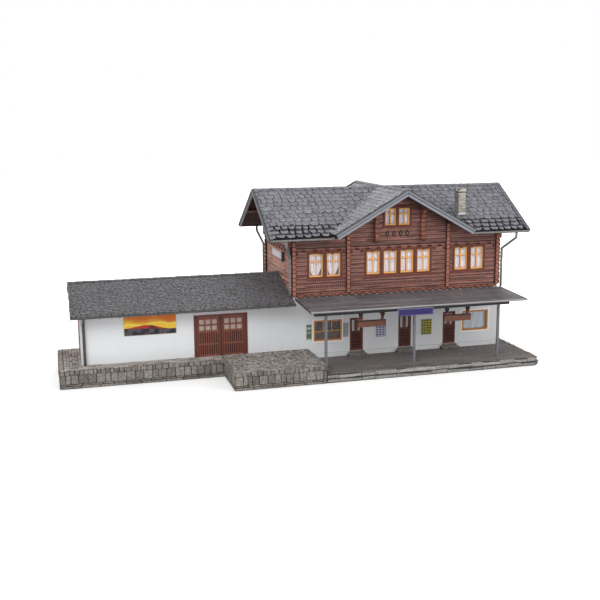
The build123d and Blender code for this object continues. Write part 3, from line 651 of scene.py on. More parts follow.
def deck_finish(name, base):
    """Dark roof boards with joints along x and rough grain."""
    made = Finish(name, base, 0.75, 0.2)
    grain = made.noise(1.2, 4, stretch=(0.12, 1, 1))
    joint = made.stripes(1, 3.6, 0.4)
    made.tint(grain, 0.35)
    made.lay(joint, None, 0.25)
    made.bump(grain, 0.15)
    made.bump(made.minus(1.0, joint), 0.25)
    return made.done()


def eave_shadow(made):
    """Painted shadow under the roofs of the front: 1 at the eave, gone 12 mm below it.

    The roof's underside there is the higher of the main eave and the cross roof's slope.
    """
    eave = node_box("main_roof_front")[1][2] - MAIN_SLOPE * (RIDGE_Y - FRONT)
    rake = made.gable_line(0, MID, node_box("cross_roof_left")[1][2], CROSS_SLOPE)
    below = made.minus(made.math("MAXIMUM", rake, eave * MM), made.axis(2))
    return made.levels(below, 12 * MM, 3.5 * MM)


def log_finish(name, base, groove_shade=0.85, drift=0.4, soot_and_shade=0.0):
    """Moulded logs: painted shade in the grooves, pale patches that are partly worn wood and partly
    painted highlight, long grain and stains, and, when given an amount, painted shadow under the eaves.
    """
    made = Finish(name, base, 0.52, 0.36)
    grain = made.noise(1.1, 5, 0.6, (0.16, 0.16, 1), 0.4)
    fine = made.noise(0.4, 3, 0.6, (0.10, 0.10, 1))
    made.tint(grain, drift)
    made.mottle(drift * 0.8, 6, 2, stretch=(0.12, 0.12, 0.9))
    made.tint(fine, 0.16)
    # Pale patches: partly worn wood, partly painted highlight.
    made.lay(made.patches(0.5, 0.72, 9, 4), 0.4, 1.75)
    made.lay(made.patches(0.54, 0.62, 1.6, 4, 0.7, (0.07, 0.07, 1)), 0.85, 0.2)
    # Painted shade in the grooves between the logs.
    made.lay(made.stripes(2, LOG_COURSE, 0.75, LOG_FLOOR - LOG_COURSE / 2), groove_shade, 0.16)
    # Painted shadow under the eaves.
    if soot_and_shade:
        made.lay(eave_shadow(made), soot_and_shade, 0.22)
    made.bump(grain, 0.16)
    made.bump(fine, 0.06)
    return made.done(made.levels(grain, 0.3, 0.7, 0.45, 0.62))


def timber_finish(name, base, drift=0.25):
    """Planed or moulded wood with grain along x and a shade per piece."""
    made = Finish(name, base, 0.5, 0.35)
    grain = made.noise(1.2, 5, 0.6, (0.14, 1, 1), 0.3)
    made.tint(grain, drift)
    made.tint(made.tone(), 0.16)
    made.mottle(0.18, 7, 3)
    made.bump(grain, 0.12)
    return made.done(made.levels(grain, 0.3, 0.7, 0.42, 0.6))


def carved_finish(name, base):
    """Lighter wood with pale patches, partly wear and partly painted highlight, and painted shade
    along the grooves between log courses.
    """
    made = Finish(name, base, 0.5, 0.36)
    made.mottle(0.35, 2.2, 4)
    made.tint(made.tone(), 0.2)
    # Painted shade along the log grooves.
    made.lay(made.stripes(2, LOG_COURSE, 0.9, LOG_FLOOR - LOG_COURSE / 2), 0.8, 0.2)
    # Pale patches: partly wear, partly painted highlight.
    made.lay(made.patches(0.56, 0.7, 3, 3), 0.45, 1.9)
    made.relief(0.1, 0.8, 4)
    return made.done()


def painted_finish(name, base, roughness=0.45, drift=0.12, wear=0.25):
    """Painted wood or plastic: slight unevenness, dust in patches and a soft sheen."""
    made = Finish(name, base, roughness, 0.4)
    made.mottle(drift, 3.5, 4)
    made.mottle(drift * 0.6, 0.7, 3)
    dust = [0.6 * channel + 0.16 for channel in base]
    made.lay(made.patches(0.55, 0.8, 12, 5, 0.65), wear, dust)
    made.relief(0.06, 0.9, 4)
    return made.done(made.levels(made.noise(3), 0.3, 0.7, roughness - 0.07, roughness + 0.1))


def streaked_finish(name, base, along=0, drift=0.2, roughness=0.6, streak=0.35, patch=0.0):
    """Weathered sheets, each its own shade, with long thin streaks along one axis."""
    made = Finish(name, base, roughness)
    marks = made.noise(2.2, 5, 0.6, [0.035 if axis == along else 1 for axis in range(3)])
    made.mottle(drift, 6, 5, 0.6)
    made.mottle(drift * 0.8, 1.1, 4)
    if patch:
        made.tint(made.cells(15, stretch=(1, 0.8, 0), jitter=0.0), patch)
    made.lay(made.levels(marks, 0.54, 0.64), streak, 2.0)
    made.lay(made.levels(marks, 0.46, 0.36), streak, 0.5)
    made.bump(marks, 0.14)
    made.relief(0.07, 0.8, 4)
    return made.done()


def zinc_finish(name, base):
    """Weathered zinc, much darker below 62 mm: painted shade on the shed's gutters under its low eaves.
    """
    made = Finish(name, base, 0.6, 0.2)
    made.mottle(0.3, 3, 4)
    # Painted shade: darker from 62 mm down to 54 mm and below it.
    made.lay(made.along(2, 62, 54), 0.85, 0.28)
    made.relief(0.06, 0.9, 3)
    return made.done()


def plaster_finish(name, base):
    """Smooth pale plaster with a fine float texture, faint stains and a splashed foot."""
    made = Finish(name, base, 0.82, 0.2)
    made.mottle(0.05, 30, 4)
    made.mottle(0.035, 1.2, 4)
    made.lay(made.patches(0.62, 0.78, 16, 6, 0.6), 0.16, (0.50, 0.51, 0.50))
    splash = made.times(made.along(2, BASE_TOP + 5, BASE_TOP),
                       made.patches(0.35, 0.75, 6, 5))
    made.lay(splash, 0.28, (0.38, 0.36, 0.33))
    made.relief(0.1, 0.9, 5, 0.6)
    made.relief(0.12, 6, 3)
    return made.done()


def stone_finish(name, base, drift=0.3, pale=1.9, cracks=0.0):
    """Cut stone: each block its own shade, pitted, cracked and rubbed pale in patches."""
    made = Finish(name, base, 0.86, 0.18)
    made.tint(made.tone(), drift)
    made.mottle(0.42, 1.4, 6, 0.7)
    made.mottle(0.18, 9, 3)
    made.lay(made.patches(0.54, 0.68, 1.1, 5, 0.7), 0.5, pale)
    if cracks:
        edge = made.cells(3.4, "Distance", feature="DISTANCE_TO_EDGE")
        made.lay(made.levels(edge, 0.11, 0.03), cracks, 0.3)
    made.relief(0.34, 1, 6, 0.7)
    made.relief(0.34, 4.2, 3)
    return made.done()


def asphalt_finish(name, base):
    """Rolled asphalt: fine grit, worn pale lanes along x and darker damp patches."""
    made = Finish(name, base, 0.88, 0.2)
    made.mottle(0.75, 1.2, 4, 0.75)
    grit = made.noise(1, 3, 0.6)
    made.lay(made.levels(grit, 0.58, 0.66, 0.0, 0.7), None, 2.2)
    made.lay(made.levels(grit, 0.42, 0.34, 0.0, 0.7), None, 0.4)
    made.mottle(0.30, 2.6, 5, 0.65)
    made.lay(made.patches(0.45, 0.75, 11, 5, 0.6, (0.22, 1, 1)), 0.5, 1.75)
    made.lay(made.patches(0.50, 0.30, 20, 4, 0.6, (0.4, 1, 1)), 0.5, 0.55)
    made.relief(0.16, 0.5, 4, 0.7)
    made.relief(0.25, 3, 4)
    return made.done()


def glass_finish(name, base, alpha):
    """Thin clear sheet with a faint smear; its opacity is set on the shader."""
    made = Finish(name, base, 0.12, 0.2)
    made.shader.inputs["Alpha"].default_value = alpha
    made.mottle(0.15, 4, 3)
    return made.done()


def cloth_finish(name, base, fold_shading):
    """Thin curtain: woven lines up and down, with painted shade in the hollows of its folds and
    painted light on their crests.
    """
    made = Finish(name, base, 0.9, 0.1)
    # Painted light and shade of the folds, carried by each point's tone.
    made.tint(made.tone(), fold_shading)
    made.mottle(0.10, 0.5, 2, stretch=(1, 1, 0.25))
    made.mottle(0.12, 3.2, 3)
    made.relief(0.08, 0.62, 2, stretch=(1, 1, 0.1))
    return made.done()


def barge_finish(name, base, axis, middle, ridge, slope, depth):
    """Painted boards with a moulding in bands by the depth below the gable's line: a lighter lower
    strip, and painted shade in a dark line at the moulding's step and along the top edge under the
    slates.
    """
    made = Finish(name, base, 0.5, 0.35)
    below = made.minus(made.gable_line(axis, middle, ridge, slope), made.axis(2))
    below = made.math("DIVIDE", below, depth * MM * math.hypot(1, slope))
    made.mottle(0.14, 4, 4)
    made.mottle(0.10, 0.8, 3)
    made.colour = made.mix(made.levels(below, 0.55, 0.50), shade(base, 1.25), made.colour)
    strip = made.math("ABSOLUTE", made.minus(below, 0.52))
    # Painted shadow line at the moulding's step.
    made.lay(made.levels(strip, 0.11, 0.05), 0.75, 0.25)
    # Painted shade along the top edge under the slates.
    made.lay(made.levels(below, 0.16, 0.07), None, 0.35)
    made.relief(0.06, 1, 4)
    return made.done()


def dress(nodes, material):
    """Gives frame nodes a finish in place of their plain one."""
    for name in nodes.split():
        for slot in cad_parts[name].material_slots:
            slot.material = material


# ---- Roofs ----
SLATE_BED = 0.75
SLATE_REACH = 1.5
FOOT_POINTS = 7
HEAD_POINTS = 3


class Slope:
    """One slope of a gable roof: its face at the eave, its length and where slates end.

    The face's v runs up the slope. Left and right are each (start, growth): the limit of u
    at the eave and how much it grows for each millimetre up the slope.
    """

    def __init__(self, eave_point, along, inward, slope, run, left, right, kind=Face):
        self.slope = slope
        self.rise = math.hypot(1, slope)
        self.face = kind(eave_point, along, np.array(inward + (slope,), float) / self.rise)
        self.length = run * self.rise
        self.left, self.right = left, right


class LappedFace(Face):
    """The plane of a cross slope, folded up over the main roof where that lies higher."""

    def place(self, points):
        """As on a flat side, but never below the same height above the main slope."""
        placed = super().place(points)
        main = (node_box("main_roof_front")[1][2] - MAIN_SLOPE * np.abs(placed[..., 1] - RIDGE_Y)
                + (points[..., 2] + 0.4) * math.hypot(1, MAIN_SLOPE))
        placed[..., 2] = np.maximum(placed[..., 2], main)
        return placed


def main_slopes():
    """The four parts of the main roof, each ending at a valley of the cross roof.

    The two roofs meet where their heights are equal, so the valley's distance from the
    building's middle is the ridges' step plus the main slope times the distance from the
    ridge, over the cross slope.
    """
    low, high = node_box("main_roof_front")
    run, reach, rise = RIDGE_Y - low[1], MID - low[0], math.hypot(1, MAIN_SLOPE)
    step = node_box("cross_roof_left")[1][2] - high[2]
    foot = (step + MAIN_SLOPE * run) / CROSS_SLOPE
    growth = -MAIN_SLOPE / CROSS_SLOPE / rise
    return [Slope((MID, RIDGE_Y - side * run, high[2] - MAIN_SLOPE * run), (side, 0, 0), (0, side),
                  MAIN_SLOPE, run, *ends) for side in (1, -1)
            for ends in (((-reach, 0.0), (-foot, -growth)), ((foot, growth), (reach, 0.0)))]


def cross_slopes(lap=0.0):
    """The four parts of the cross roof, before and behind the main ridge.

    Lap is how far, measured along x at the eave, they reach over the main roof.
    """
    low, high = node_box("cross_roof_left")
    run, reach, rise = MID - low[0], RIDGE_Y - low[1], math.hypot(1, CROSS_SLOPE)
    step = high[2] - node_box("main_roof_front")[1][2]
    shift = lap * CROSS_SLOPE / MAIN_SLOPE
    foot = (CROSS_SLOPE * run - step) / MAIN_SLOPE - shift
    growth = -CROSS_SLOPE / MAIN_SLOPE / rise + shift / (run * rise)
    return [Slope((MID + side * run, RIDGE_Y, high[2] - CROSS_SLOPE * run), (0, side, 0), (-side, 0),
                  CROSS_SLOPE, run, *ends, LappedFace) for side in (-1, 1)
            for ends in (((foot, growth), (reach, 0.0)), ((-reach, 0.0), (-foot, -growth)))]


def shed_slopes():
    """The two slopes of the goods shed."""
    low, high = node_box("shed_roof_front")
    run = RIDGE_Y - low[1]
    return [Slope((start, RIDGE_Y - side * run, high[2] - SHED_SLOPE * run), (side, 0, 0), (0, side),
                  SHED_SLOPE, run, (0.0, 0.0), (high[0] - low[0], 0.0))
            for side, start in ((1, low[0]), (-1, high[0]))]


def add_deck(shape, slope, sheet):
    """The sheet under one slope's slates: its outline, from its underside to a lowered top."""
    top, left, right = slope.length, slope.left, slope.right
    outline = np.array([(left[0], 0, 0), (right[0], 0, 0), (right[0] + right[1] * top, top, 0),
                        (left[0] + left[1] * top, top, 0)])
    # Sinking into the sheet slides down the slope as well, so that the ends stay upright.
    sink = np.array((0, slope.slope, 1))
    face = Face(slope.face.corner, slope.face.along, slope.face.up)
    ring = np.arange(4)[None]
    shape.add([face.place(np.concatenate([outline - SLATE_BED * sink, outline - sheet * sink]))],
              (ring, ring[:, ::-1] + 4, ring_sides(4)), material=(0, 1, 0))


def add_slates(shape, slope, rng, width, course, thickness, spread, ragged, overhang, large=0,
               gap=0.3, large_gap=0.0, stagger=0.5):
    """Slates on one slope, course by course from the eave; width and course are settings.

    A slate's outline in the slope's plane has seven points along its foot, at
    x = middle + t times half the width and v = foot + corner times a power of |t|
    for t from -1 to 1, and three along its head. Its underside rises from the deck at its
    head to one thickness at its foot, and its top is one thickness above that. Points past
    a valley or verge are drawn in to it, and slates left too small are dropped.
    """
    width, course = width / MM, course / MM
    t, head_t = np.linspace(-1, 1, FOOT_POINTS), np.linspace(1, -1, HEAD_POINTS)
    for index in range(math.ceil((slope.length + overhang) / course)):
        foot = index * course - overhang
        head = min(foot + SLATE_REACH * course, slope.length)
        left_here, right_here = (start + growth * max(foot, 0.0)
                                 for start, growth in (slope.left, slope.right))
        number = int((right_here - left_here) / (width * (1 - spread / 2))) + 3
        widths = width * (1 + spread * rng.uniform(-1, 1, number))
        start = left_here - width * ((index * stagger) % 1.0 + rng.uniform(0, spread))
        edges = start + np.append(0.0, np.cumsum(widths))
        is_large = index < large
        thick = thickness * (1.35 if is_large else 1.0)
        half = (np.diff(edges) - (large_gap if is_large else gap) * rng.uniform(0.5, 1.4, number)) / 2
        middle = (edges[:-1] + edges[1:]) / 2
        corner = course * rng.uniform(0.16, 0.42, number) * (1.25 if is_large else 1.0)
        jitter = rng.uniform(-ragged, ragged, (number, FOOT_POINTS)) * (1.1 if is_large else 0.6)
        feet = (foot + rng.uniform(-ragged, ragged, number)[:, None] + jitter
                + corner[:, None] * np.abs(t) ** 3.0)
        low_u = middle[:, None] + half[:, None] * t * rng.uniform(0.94, 1.0, number)[:, None]
        u = np.concatenate([low_u, middle[:, None] + half[:, None] * head_t], axis=1)
        heads = np.full((number, HEAD_POINTS), head)
        v = np.minimum(np.concatenate([feet, heads], axis=1), slope.length)
        u = np.clip(u, slope.left[0] + slope.left[1] * v, slope.right[0] + slope.right[1] * v)
        area = (u * np.roll(v, -1, axis=1) - np.roll(u, -1, axis=1) * v).sum(axis=1) / 2
        keep = area > 0.08 * width * (head - foot)
        if not keep.any():
            continue
        share_up = np.clip((v - foot) / (SLATE_REACH * course), 0.0, 1.0)
        low = thick * (1.0 - share_up) * rng.uniform(0.85, 1.35, number)[:, None] - SLATE_BED
        high = low + thick * rng.uniform(0.85, 1.15, number)[:, None]
        # Rim runs from a slate's foot to its head: the finish paints highlight flecks near the foot and
        # shadow near the head, and large slates start lower, so more of them is shaded.
        rim = np.repeat((0.70, 0.0) if is_large else (1.0, 0.17), (FOOT_POINTS, HEAD_POINTS))
        tone = rng.beta(2.2, 2.2, number)
        # Slate sides take the dark edge finishes as painted shadow, darker on the large slates.
        add_plates(shape, columns(u, v)[keep], low[keep], high[keep], face=slope.face,
                   tone=tone[keep], rim=rim, material=(0, 1 if is_large else 2))


def add_verge(shape, slope, side, rng):
    """Thin slates laid over a barge board's upper edge, each a slightly tilted ragged plate."""
    pitch, inner = 4.8, 1.6
    count = int(slope.length / pitch)
    ends = np.linspace(0.0, slope.length, count + 1)
    near, far = ends[:-1] - 0.5, ends[1:] - 0.15
    edge = slope.right[0] if side > 0 else -slope.left[0]
    out = edge + 0.25 + rng.uniform(-0.25, 0.15, (2, count))
    u = side * columns(edge - inner, *out, edge - inner)
    outlines = columns(u, columns(near, near, far, far))[:, ::side]
    low = rng.uniform(0.02, 0.1, (count, 1)) + np.array([0.34, 0.34, 0.05, 0.05])[::side]
    add_plates(shape, outlines, low, low + 0.3, face=slope.face,
               tone=rng.uniform(0.0, 0.3, count), material=(0, 1))


def add_ridge_caps(shape, start, end, slope, size, thickness, rng):
    """Folded cap slates along a ridge: an upside-down V carried along it in short lengths."""
    run = np.subtract(end, start)
    distance = np.linalg.norm(run)
    way = run / distance
    steps = np.linspace(0, distance, int(distance / size) + 1)
    for near, far in zip(steps[:-1], steps[1:]):
        lift = rng.uniform(0.0, 0.18) - SLATE_BED + 0.45
        wide = 2.0 * rng.uniform(0.92, 1.06)
        ends = start + np.outer((near - 0.25, far), way) + ((0, 0, lift + 0.22), (0, 0, lift))
        profile = ((0, thickness), (-wide, thickness - slope * wide), (-wide, -slope * wide),
                   (0, 0), (wide, -slope * wide), (wide, thickness - slope * wide))
        add_sweeps(shape, [ends], np.cross((0, 0, 1), way), (0, 0, 1), profile,
                   tone=rng.uniform(0.2, 0.8))


def cap_ridges(slate, shed_slate, thickness):
    """Caps on the three ridges, each a pair of runs or one."""
    rng = np.random.default_rng(417)
    caps, shed_caps = Shape(), Shape()
    low, high = node_box("main_roof_front")
    cross_low, cross_high = node_box("cross_roof_left")
    reach = (cross_high[2] - high[2]) / CROSS_SLOPE
    for start, end in ((low[0], MID - reach), (high[0], MID + reach)):
        add_ridge_caps(caps, (start, RIDGE_Y, high[2]), (end, RIDGE_Y, high[2]), MAIN_SLOPE, 6.2,
                       thickness, rng)
    for start in (cross_low[1], cross_high[1]):
        add_ridge_caps(caps, (MID, start, cross_high[2]), (MID, RIDGE_Y, cross_high[2]),
                       CROSS_SLOPE, 5.4, thickness, rng)
    low, high = node_box("shed_roof_front")
    add_ridge_caps(shed_caps, (low[0], RIDGE_Y, high[2]), (high[0], RIDGE_Y, high[2]), SHED_SLOPE,
                   5.8, thickness, rng)
    caps.piece("ridge_caps", "roof_slate", slate)
    shed_caps.piece("shed_ridge_caps", "shed_slate", shed_slate)


class STATION_OT_slate_roofs(bpy.types.Operator):
    """Lay decks, slates and ridge caps on the main, cross and shed roofs"""

    bl_idname = "station.slate_roofs"
    bl_label = "Slate the roofs"

    def execute(self, context):
        roofs = context.scene.station_roofs
        timber = context.scene.station_timber
        # Near-black deck boards: painted shadow where the slates leave gaps.
        deck = deck_finish("roof_deck", roofs.deck_shadow_colour)
        soffit = deck_finish("soffit_boards", shade(timber.log_colour, 0.22))
        slate = slate_finish("split_slate", roofs.slate_colour, fleck_and_highlight=0.7, soot_and_shade=0.9)
        shed_slate = slate_finish("shed_slate", roofs.shed_colour, fleck_and_highlight=0.35)
        # The cross roof's slates are 1.3 times lighter: painted light for its brightly lit left slope.
        pale = slate_finish("lit_cross_slate", shade(roofs.slate_colour, 1.3), fleck_and_highlight=0.9)
        # Dark copies of the slate for the slates' sides: painted shadow under each foot and in the gaps,
        # darkest on the large eave slates.
        edge = slate_finish("slate_edge_shadow", shade(roofs.slate_colour, 0.16), fleck_and_highlight=0.3)
        thin_edge_shadow = slate_finish("thin_slate_edge", shade(roofs.slate_colour, 0.3), fleck_and_highlight=0.7)
        thickness = roofs.slate_thickness / MM
        jobs = (("main", "front", "back", main_slopes(), slate, ROOF_SHEET,
                 dict(width=roofs.slate_width, course=roofs.slate_course, spread=0.3, large=3,
                      thickness=thickness, large_gap=roofs.eave_gap / MM, ragged=0.42, overhang=-1.1)),
                ("cross", "left", "right", cross_slopes(), pale, ROOF_SHEET,
                 dict(width=roofs.cross_width, course=roofs.cross_course, spread=0.3,
                      thickness=thickness * 0.9, ragged=0.42, overhang=0.4)),
                ("shed", "front", "back", shed_slopes(), shed_slate, SHED_SHEET,
                 dict(width=roofs.shed_width, course=roofs.shed_course, spread=0.35,
                      thickness=thickness * 0.85, ragged=0.4, gap=0.2, overhang=0.7, stagger=0.37)))
        for seed, (name, one, other, slopes, finish, sheet, sizes) in enumerate(jobs, 410):
            rng = np.random.default_rng(seed)
            slot = "shed_slate" if name == "shed" else "roof_slate"
            decks, slates = Shape(), Shape()
            for slope in slopes:
                add_deck(decks, slope, sheet)
            for slope in cross_slopes(roofs.valley_lap / MM) if name == "cross" else slopes:
                add_slates(slates, slope, rng, **sizes)
                for side, (_, growth) in ((-1, slope.left), (1, slope.right)):
                    if growth == 0.0 and (name != "shed" or side * slope.face.along[0] < 0):
                        add_verge(slates, slope, side, rng)
            board = decks.piece(name + "_roof_deck", slot, deck, soffit)
            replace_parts(board, f"{name}_roof_{one}", f"{name}_roof_{other}")
            weld(slates.piece(name + "_roof_slates", slot, finish, edge, thin_edge_shadow))
        cap_ridges(slate, shed_slate, thickness)
        return {"FINISHED"}


# ---- Log storey ----
ARCH_RISE = 0.62
ARCH_ANGLES = np.linspace(0, math.pi, 9)
COSINES, SINES = np.cos(ARCH_ANGLES), np.sin(ARCH_ANGLES)


def log_spans():
    """Ends of the three bays of the front between the log-end columns, from the middle."""
    near, far = CROSS_WALL + LOG_WALL / 2, LENGTH / 2 - LOG_WALL
    return ((-far, -near), (-near + LOG_WALL, near - LOG_WALL), (near, far))


def add_arches(shape, face, centres, level, radius, rng):
    """Carved arches in a row: half rings of a chamfered section, and drops between them.

    A point of a ring's middle line is the centre plus the mean radius times the cosine and
    sine of an angle from 0 to pi.
    """
    mean, half, deep, low = radius - 0.45, 0.45, 0.75, -0.4
    path = columns(centres[:, None] + mean * COSINES, level + ARCH_RISE * mean * SINES, 0.1)
    radial = np.broadcast_to(columns(COSINES, SINES, 0), path.shape)
    profile = [(half, low), (-half, low), (-half, deep * 0.6), (-half * 0.4, deep),
               (half * 0.4, deep), (half, deep * 0.6)]
    add_sweeps(shape, face.place(path), face.place(radial) - face.corner, face.out, profile,
               tone=rng.uniform(0.3, 0.7, len(centres)))
    half_pitch = (centres[1] - centres[0]) / 2
    feet = np.append(centres - half_pitch, centres[-1] + half_pitch)
    add_blocks(shape, columns(feet, level - 0.4, 0.35), (0.55, 1.25, 0.6), 0.3, face=face,
               tone=rng.uniform(0.5, 0.8, len(feet)))
    return feet


def spaced(low, high, pitch, margin=0.0):
    """Evenly spaced centres at about the pitch between two ends."""
    room = high - low - 2 * margin
    count = max(1, int(room / pitch))
    return low + margin + (np.arange(count) + 0.5) * room / count


def cap_log_ends(finish):
    """A rounded face on every log end of the corner and cross-wall columns."""
    rng = np.random.default_rng(58)
    shape = Shape()
    column = LOG_WALL / 2
    ridge = node_box("cross_roof_left")[1][2]
    eave = node_box("main_roof_front")[1][2] - MAIN_SLOPE * (RIDGE_Y - FRONT)
    corbel = node_box("eave_corbels")[0][2] - 0.3
    outer, side = LENGTH / 2 - column, RIDGE_Y - FRONT - column
    stacks = [(face, centre, max(eave, ridge - CROSS_SLOPE * (abs(centre) + column)) - 2.9)
              for face in (FRONT_FACE, BACK_FACE) for centre in (-outer, -CROSS_WALL, CROSS_WALL, outer)]
    stacks += [(face, centre, corbel) for face in (LEFT_FACE, RIGHT_FACE) for centre in (-side, side)]
    for face, centre, top in stacks:
        count = int((top - LOG_FLOOR) / LOG_COURSE)
        places = columns(centre, LOG_FLOOR + (np.arange(count) + 0.5) * LOG_COURSE, 1.05)
        add_blocks(shape, places, (1.3, 1.52, 0.7), 0.3, face=face,
                   tone=rng.uniform(0.3, 0.7, count), wobble=0.05, rng=rng)
    shape.piece("log_end_faces", "log_ends", finish)


class STATION_OT_finish_timber(bpy.types.Operator):
    """Give the log walls, their ends, brackets and purlins their wood finishes"""

    bl_idname = "station.finish_timber"
    bl_label = "Finish the timber"

    def execute(self, context):
        timber = context.scene.station_timber
        log, end = timber.log_colour, timber.end_colour
        dress("log_front_wall log_back_wall", log_finish("log_front", log, soot_and_shade=0.85))
        dress("log_left_wall log_right_wall",
              log_finish("log_gable", timber.plank_colour, groove_shade=0.45, drift=0.25))
        dress("joist_ends eave_corbels gable_brackets", carved_finish("log_end_wood", end))
        dress("log_ends", timber_finish("end_shadow", shade(end, 0.10)))
        cap_log_ends(timber_finish("end_grain", shade(end, 1.12)))
        dress("ledge_boards roof_purlins", timber_finish("dark_timber", shade(log, 0.6)))
        dress("canopy_rafters", timber_finish("rafter_wood", shade(log, 0.3)))
        dress("window_casings", timber_finish("casing_wood", timber.casing_colour))
        return {"FINISHED"}


def add_frieze(frieze, teeth, face, low, high, settings, rng):
    """A row of arches on a shadowed band below a moulding; the moulding strip, a half disc inside
    each arch and a plate behind each drop are near-black, painted shadow.
    """
    level, radius = ATTIC_FLOOR - 5.1, settings.frieze_radius / MM
    centres = spaced(low, high, settings.frieze_pitch / MM, 1.2)
    feet = add_arches(frieze, face, centres, level, radius, rng)
    add_spans(teeth, face, [(low, high, -1.3, 3.2, -0.5, 0.06)], (0, level), 0.02, tone=0.25)
    add_spans(teeth, face, [(low, high, 2.5, 3.3, INTO_WALL, 0.12)], (0, level), 0.02, material=1)
    curve = columns(COSINES, ARCH_RISE * SINES) * (radius - 0.9)
    add_plates(teeth, curve + columns(centres, level)[:, None], INTO_WALL, 0.2, face=face,
               material=1)
    add_blocks(teeth, columns(feet, level - 0.5, -0.05), (1.15, 1.6, 0.25), 0.1, face=face, material=1)


def add_teeth(shape, face, group, pitch):
    """Teeth between two thin mouldings on a near-black strip, painted shadow between the teeth, below
    a group of windows.
    """
    low, high, tall = group.left() - 3.0, group.right() + 3.0, 2.3
    foot = LOG_FLOOR + 4.7
    add_spans(shape, face, [(low, high, 0, tall, INTO_WALL, 0.08)], (0, foot), 0.02, material=1)
    add_blocks(shape, columns(spaced(low, high, pitch), foot + tall / 2, 0.2), (0.29, 1.15, 0.2), 0.06,
               face=face, tone=1.0)
    add_spans(shape, face, [(low - 0.6, high + 0.6, edge, edge + 0.5, INTO_WALL, 0.25)
                            for edge in (-0.5, tall)], (0, foot), 0.12, tone=1.6)


def add_lozenges(shape, face):
    """Four carved lozenges on a panel over the middle windows, each with a small boss."""
    lozenge = np.array([(0, -3.0), (1.7, 0), (0, 3.0), (-1.7, 0)])
    for step in (-1.5, -0.5, 0.5, 1.5):
        centre = (step * 5.5 + ATTIC_GROUP.centres.mean() * face.along[0], ATTIC_FLOOR + 6.4)
        for size, high, material in ((1.0, 0.28, 1), (0.38, 0.42, 0)):
            add_plates(shape, [lozenge * size + centre], INTO_WALL, high, face=face,
                       material=material)


class STATION_OT_carve_logs(bpy.types.Operator):
    """Carve the arched friezes, rows of teeth and lozenges of the log storey"""

    bl_idname = "station.carve_logs"
    bl_label = "Carve the log storey"

    def execute(self, context):
        timber = context.scene.station_timber
        carved = carved_finish("frieze_wood", timber.end_colour)
        log = timber_finish("moulding_wood", timber.log_colour)
        # Near-black wood: painted shadow behind the teeth and in the frieze; the lozenges are laid in it
        # too.
        shadow = timber_finish("recess_shadow", shade(timber.log_colour, 0.04))
        rng = np.random.default_rng(52)
        frieze, teeth, marks = Shape(), Shape(), Shape()
        for face in (FRONT_FACE, BACK_FACE):
            for low, high in log_spans():
                add_frieze(frieze, teeth, face, low, high, timber, rng)
            for group in (LEFT_GROUP, MIDDLE_GROUP, RIGHT_GROUP):
                add_teeth(teeth, face, group, timber.dentil_pitch / MM)
            add_lozenges(marks, face)
        low, high = node_box("log_left_wall")
        half = (high[1] - low[1]) / 2 - LOG_WALL
        for face in (LEFT_FACE, RIGHT_FACE):
            add_frieze(frieze, teeth, face, -half, half, timber, rng)
        frieze.piece("carved_frieze", "log_ends", carved)
        teeth.piece("tooth_mouldings", "logs", log, shadow)
        marks.piece("carved_lozenges", "logs", log, shadow)
        return {"FINISHED"}


# ---- Windows ----
def upper_windows():
    """Every window of the upper storeys: its face and its row."""
    rows = (LEFT_GROUP, MIDDLE_GROUP, RIGHT_GROUP, ATTIC_GROUP)
    return ([(FRONT_FACE, group) for group in rows]
            + [(BACK_FACE, group.mirrored()) for group in rows] + [(RIGHT_FACE, SIDE_GROUP)])


def ground_windows():
    """Every ground-storey window: its face, centre along it and whether it has a net."""
    left, right = GROUND_GROUP.centres
    return [(FRONT_FACE, left, False), (FRONT_FACE, right, True), (BACK_FACE, -left, False),
            (BACK_FACE, -right, True), (RIGHT_FACE, 0.0, False)]


def rectangle(centre, width, sill, height):
    """Corners of an upright rectangle, counter-clockwise."""
    left, right = centre - width / 2, centre + width / 2
    return [(left, sill), (right, sill), (right, sill + height), (left, sill + height)]


def add_ground_bars(shape, face, centre):
    """Two uprights over a transom."""
    half = GROUND_GROUP.width / 2 - GROUND_BAR
    top = GROUND_GROUP.height - 2 * GROUND_BAR
    transom = 0.42 * top
    third = half / 3
    add_spans(shape, face, [(-half, half, transom, transom + 0.85, -1.1, -0.4),
                            (-third - 0.5, -third + 0.4, transom, top, -1.1, -0.5),
                            (third - 0.5, third + 0.4, transom, top, -1.1, -0.5)],
              (centre, GROUND_SILL + GROUND_BAR), 0.12)


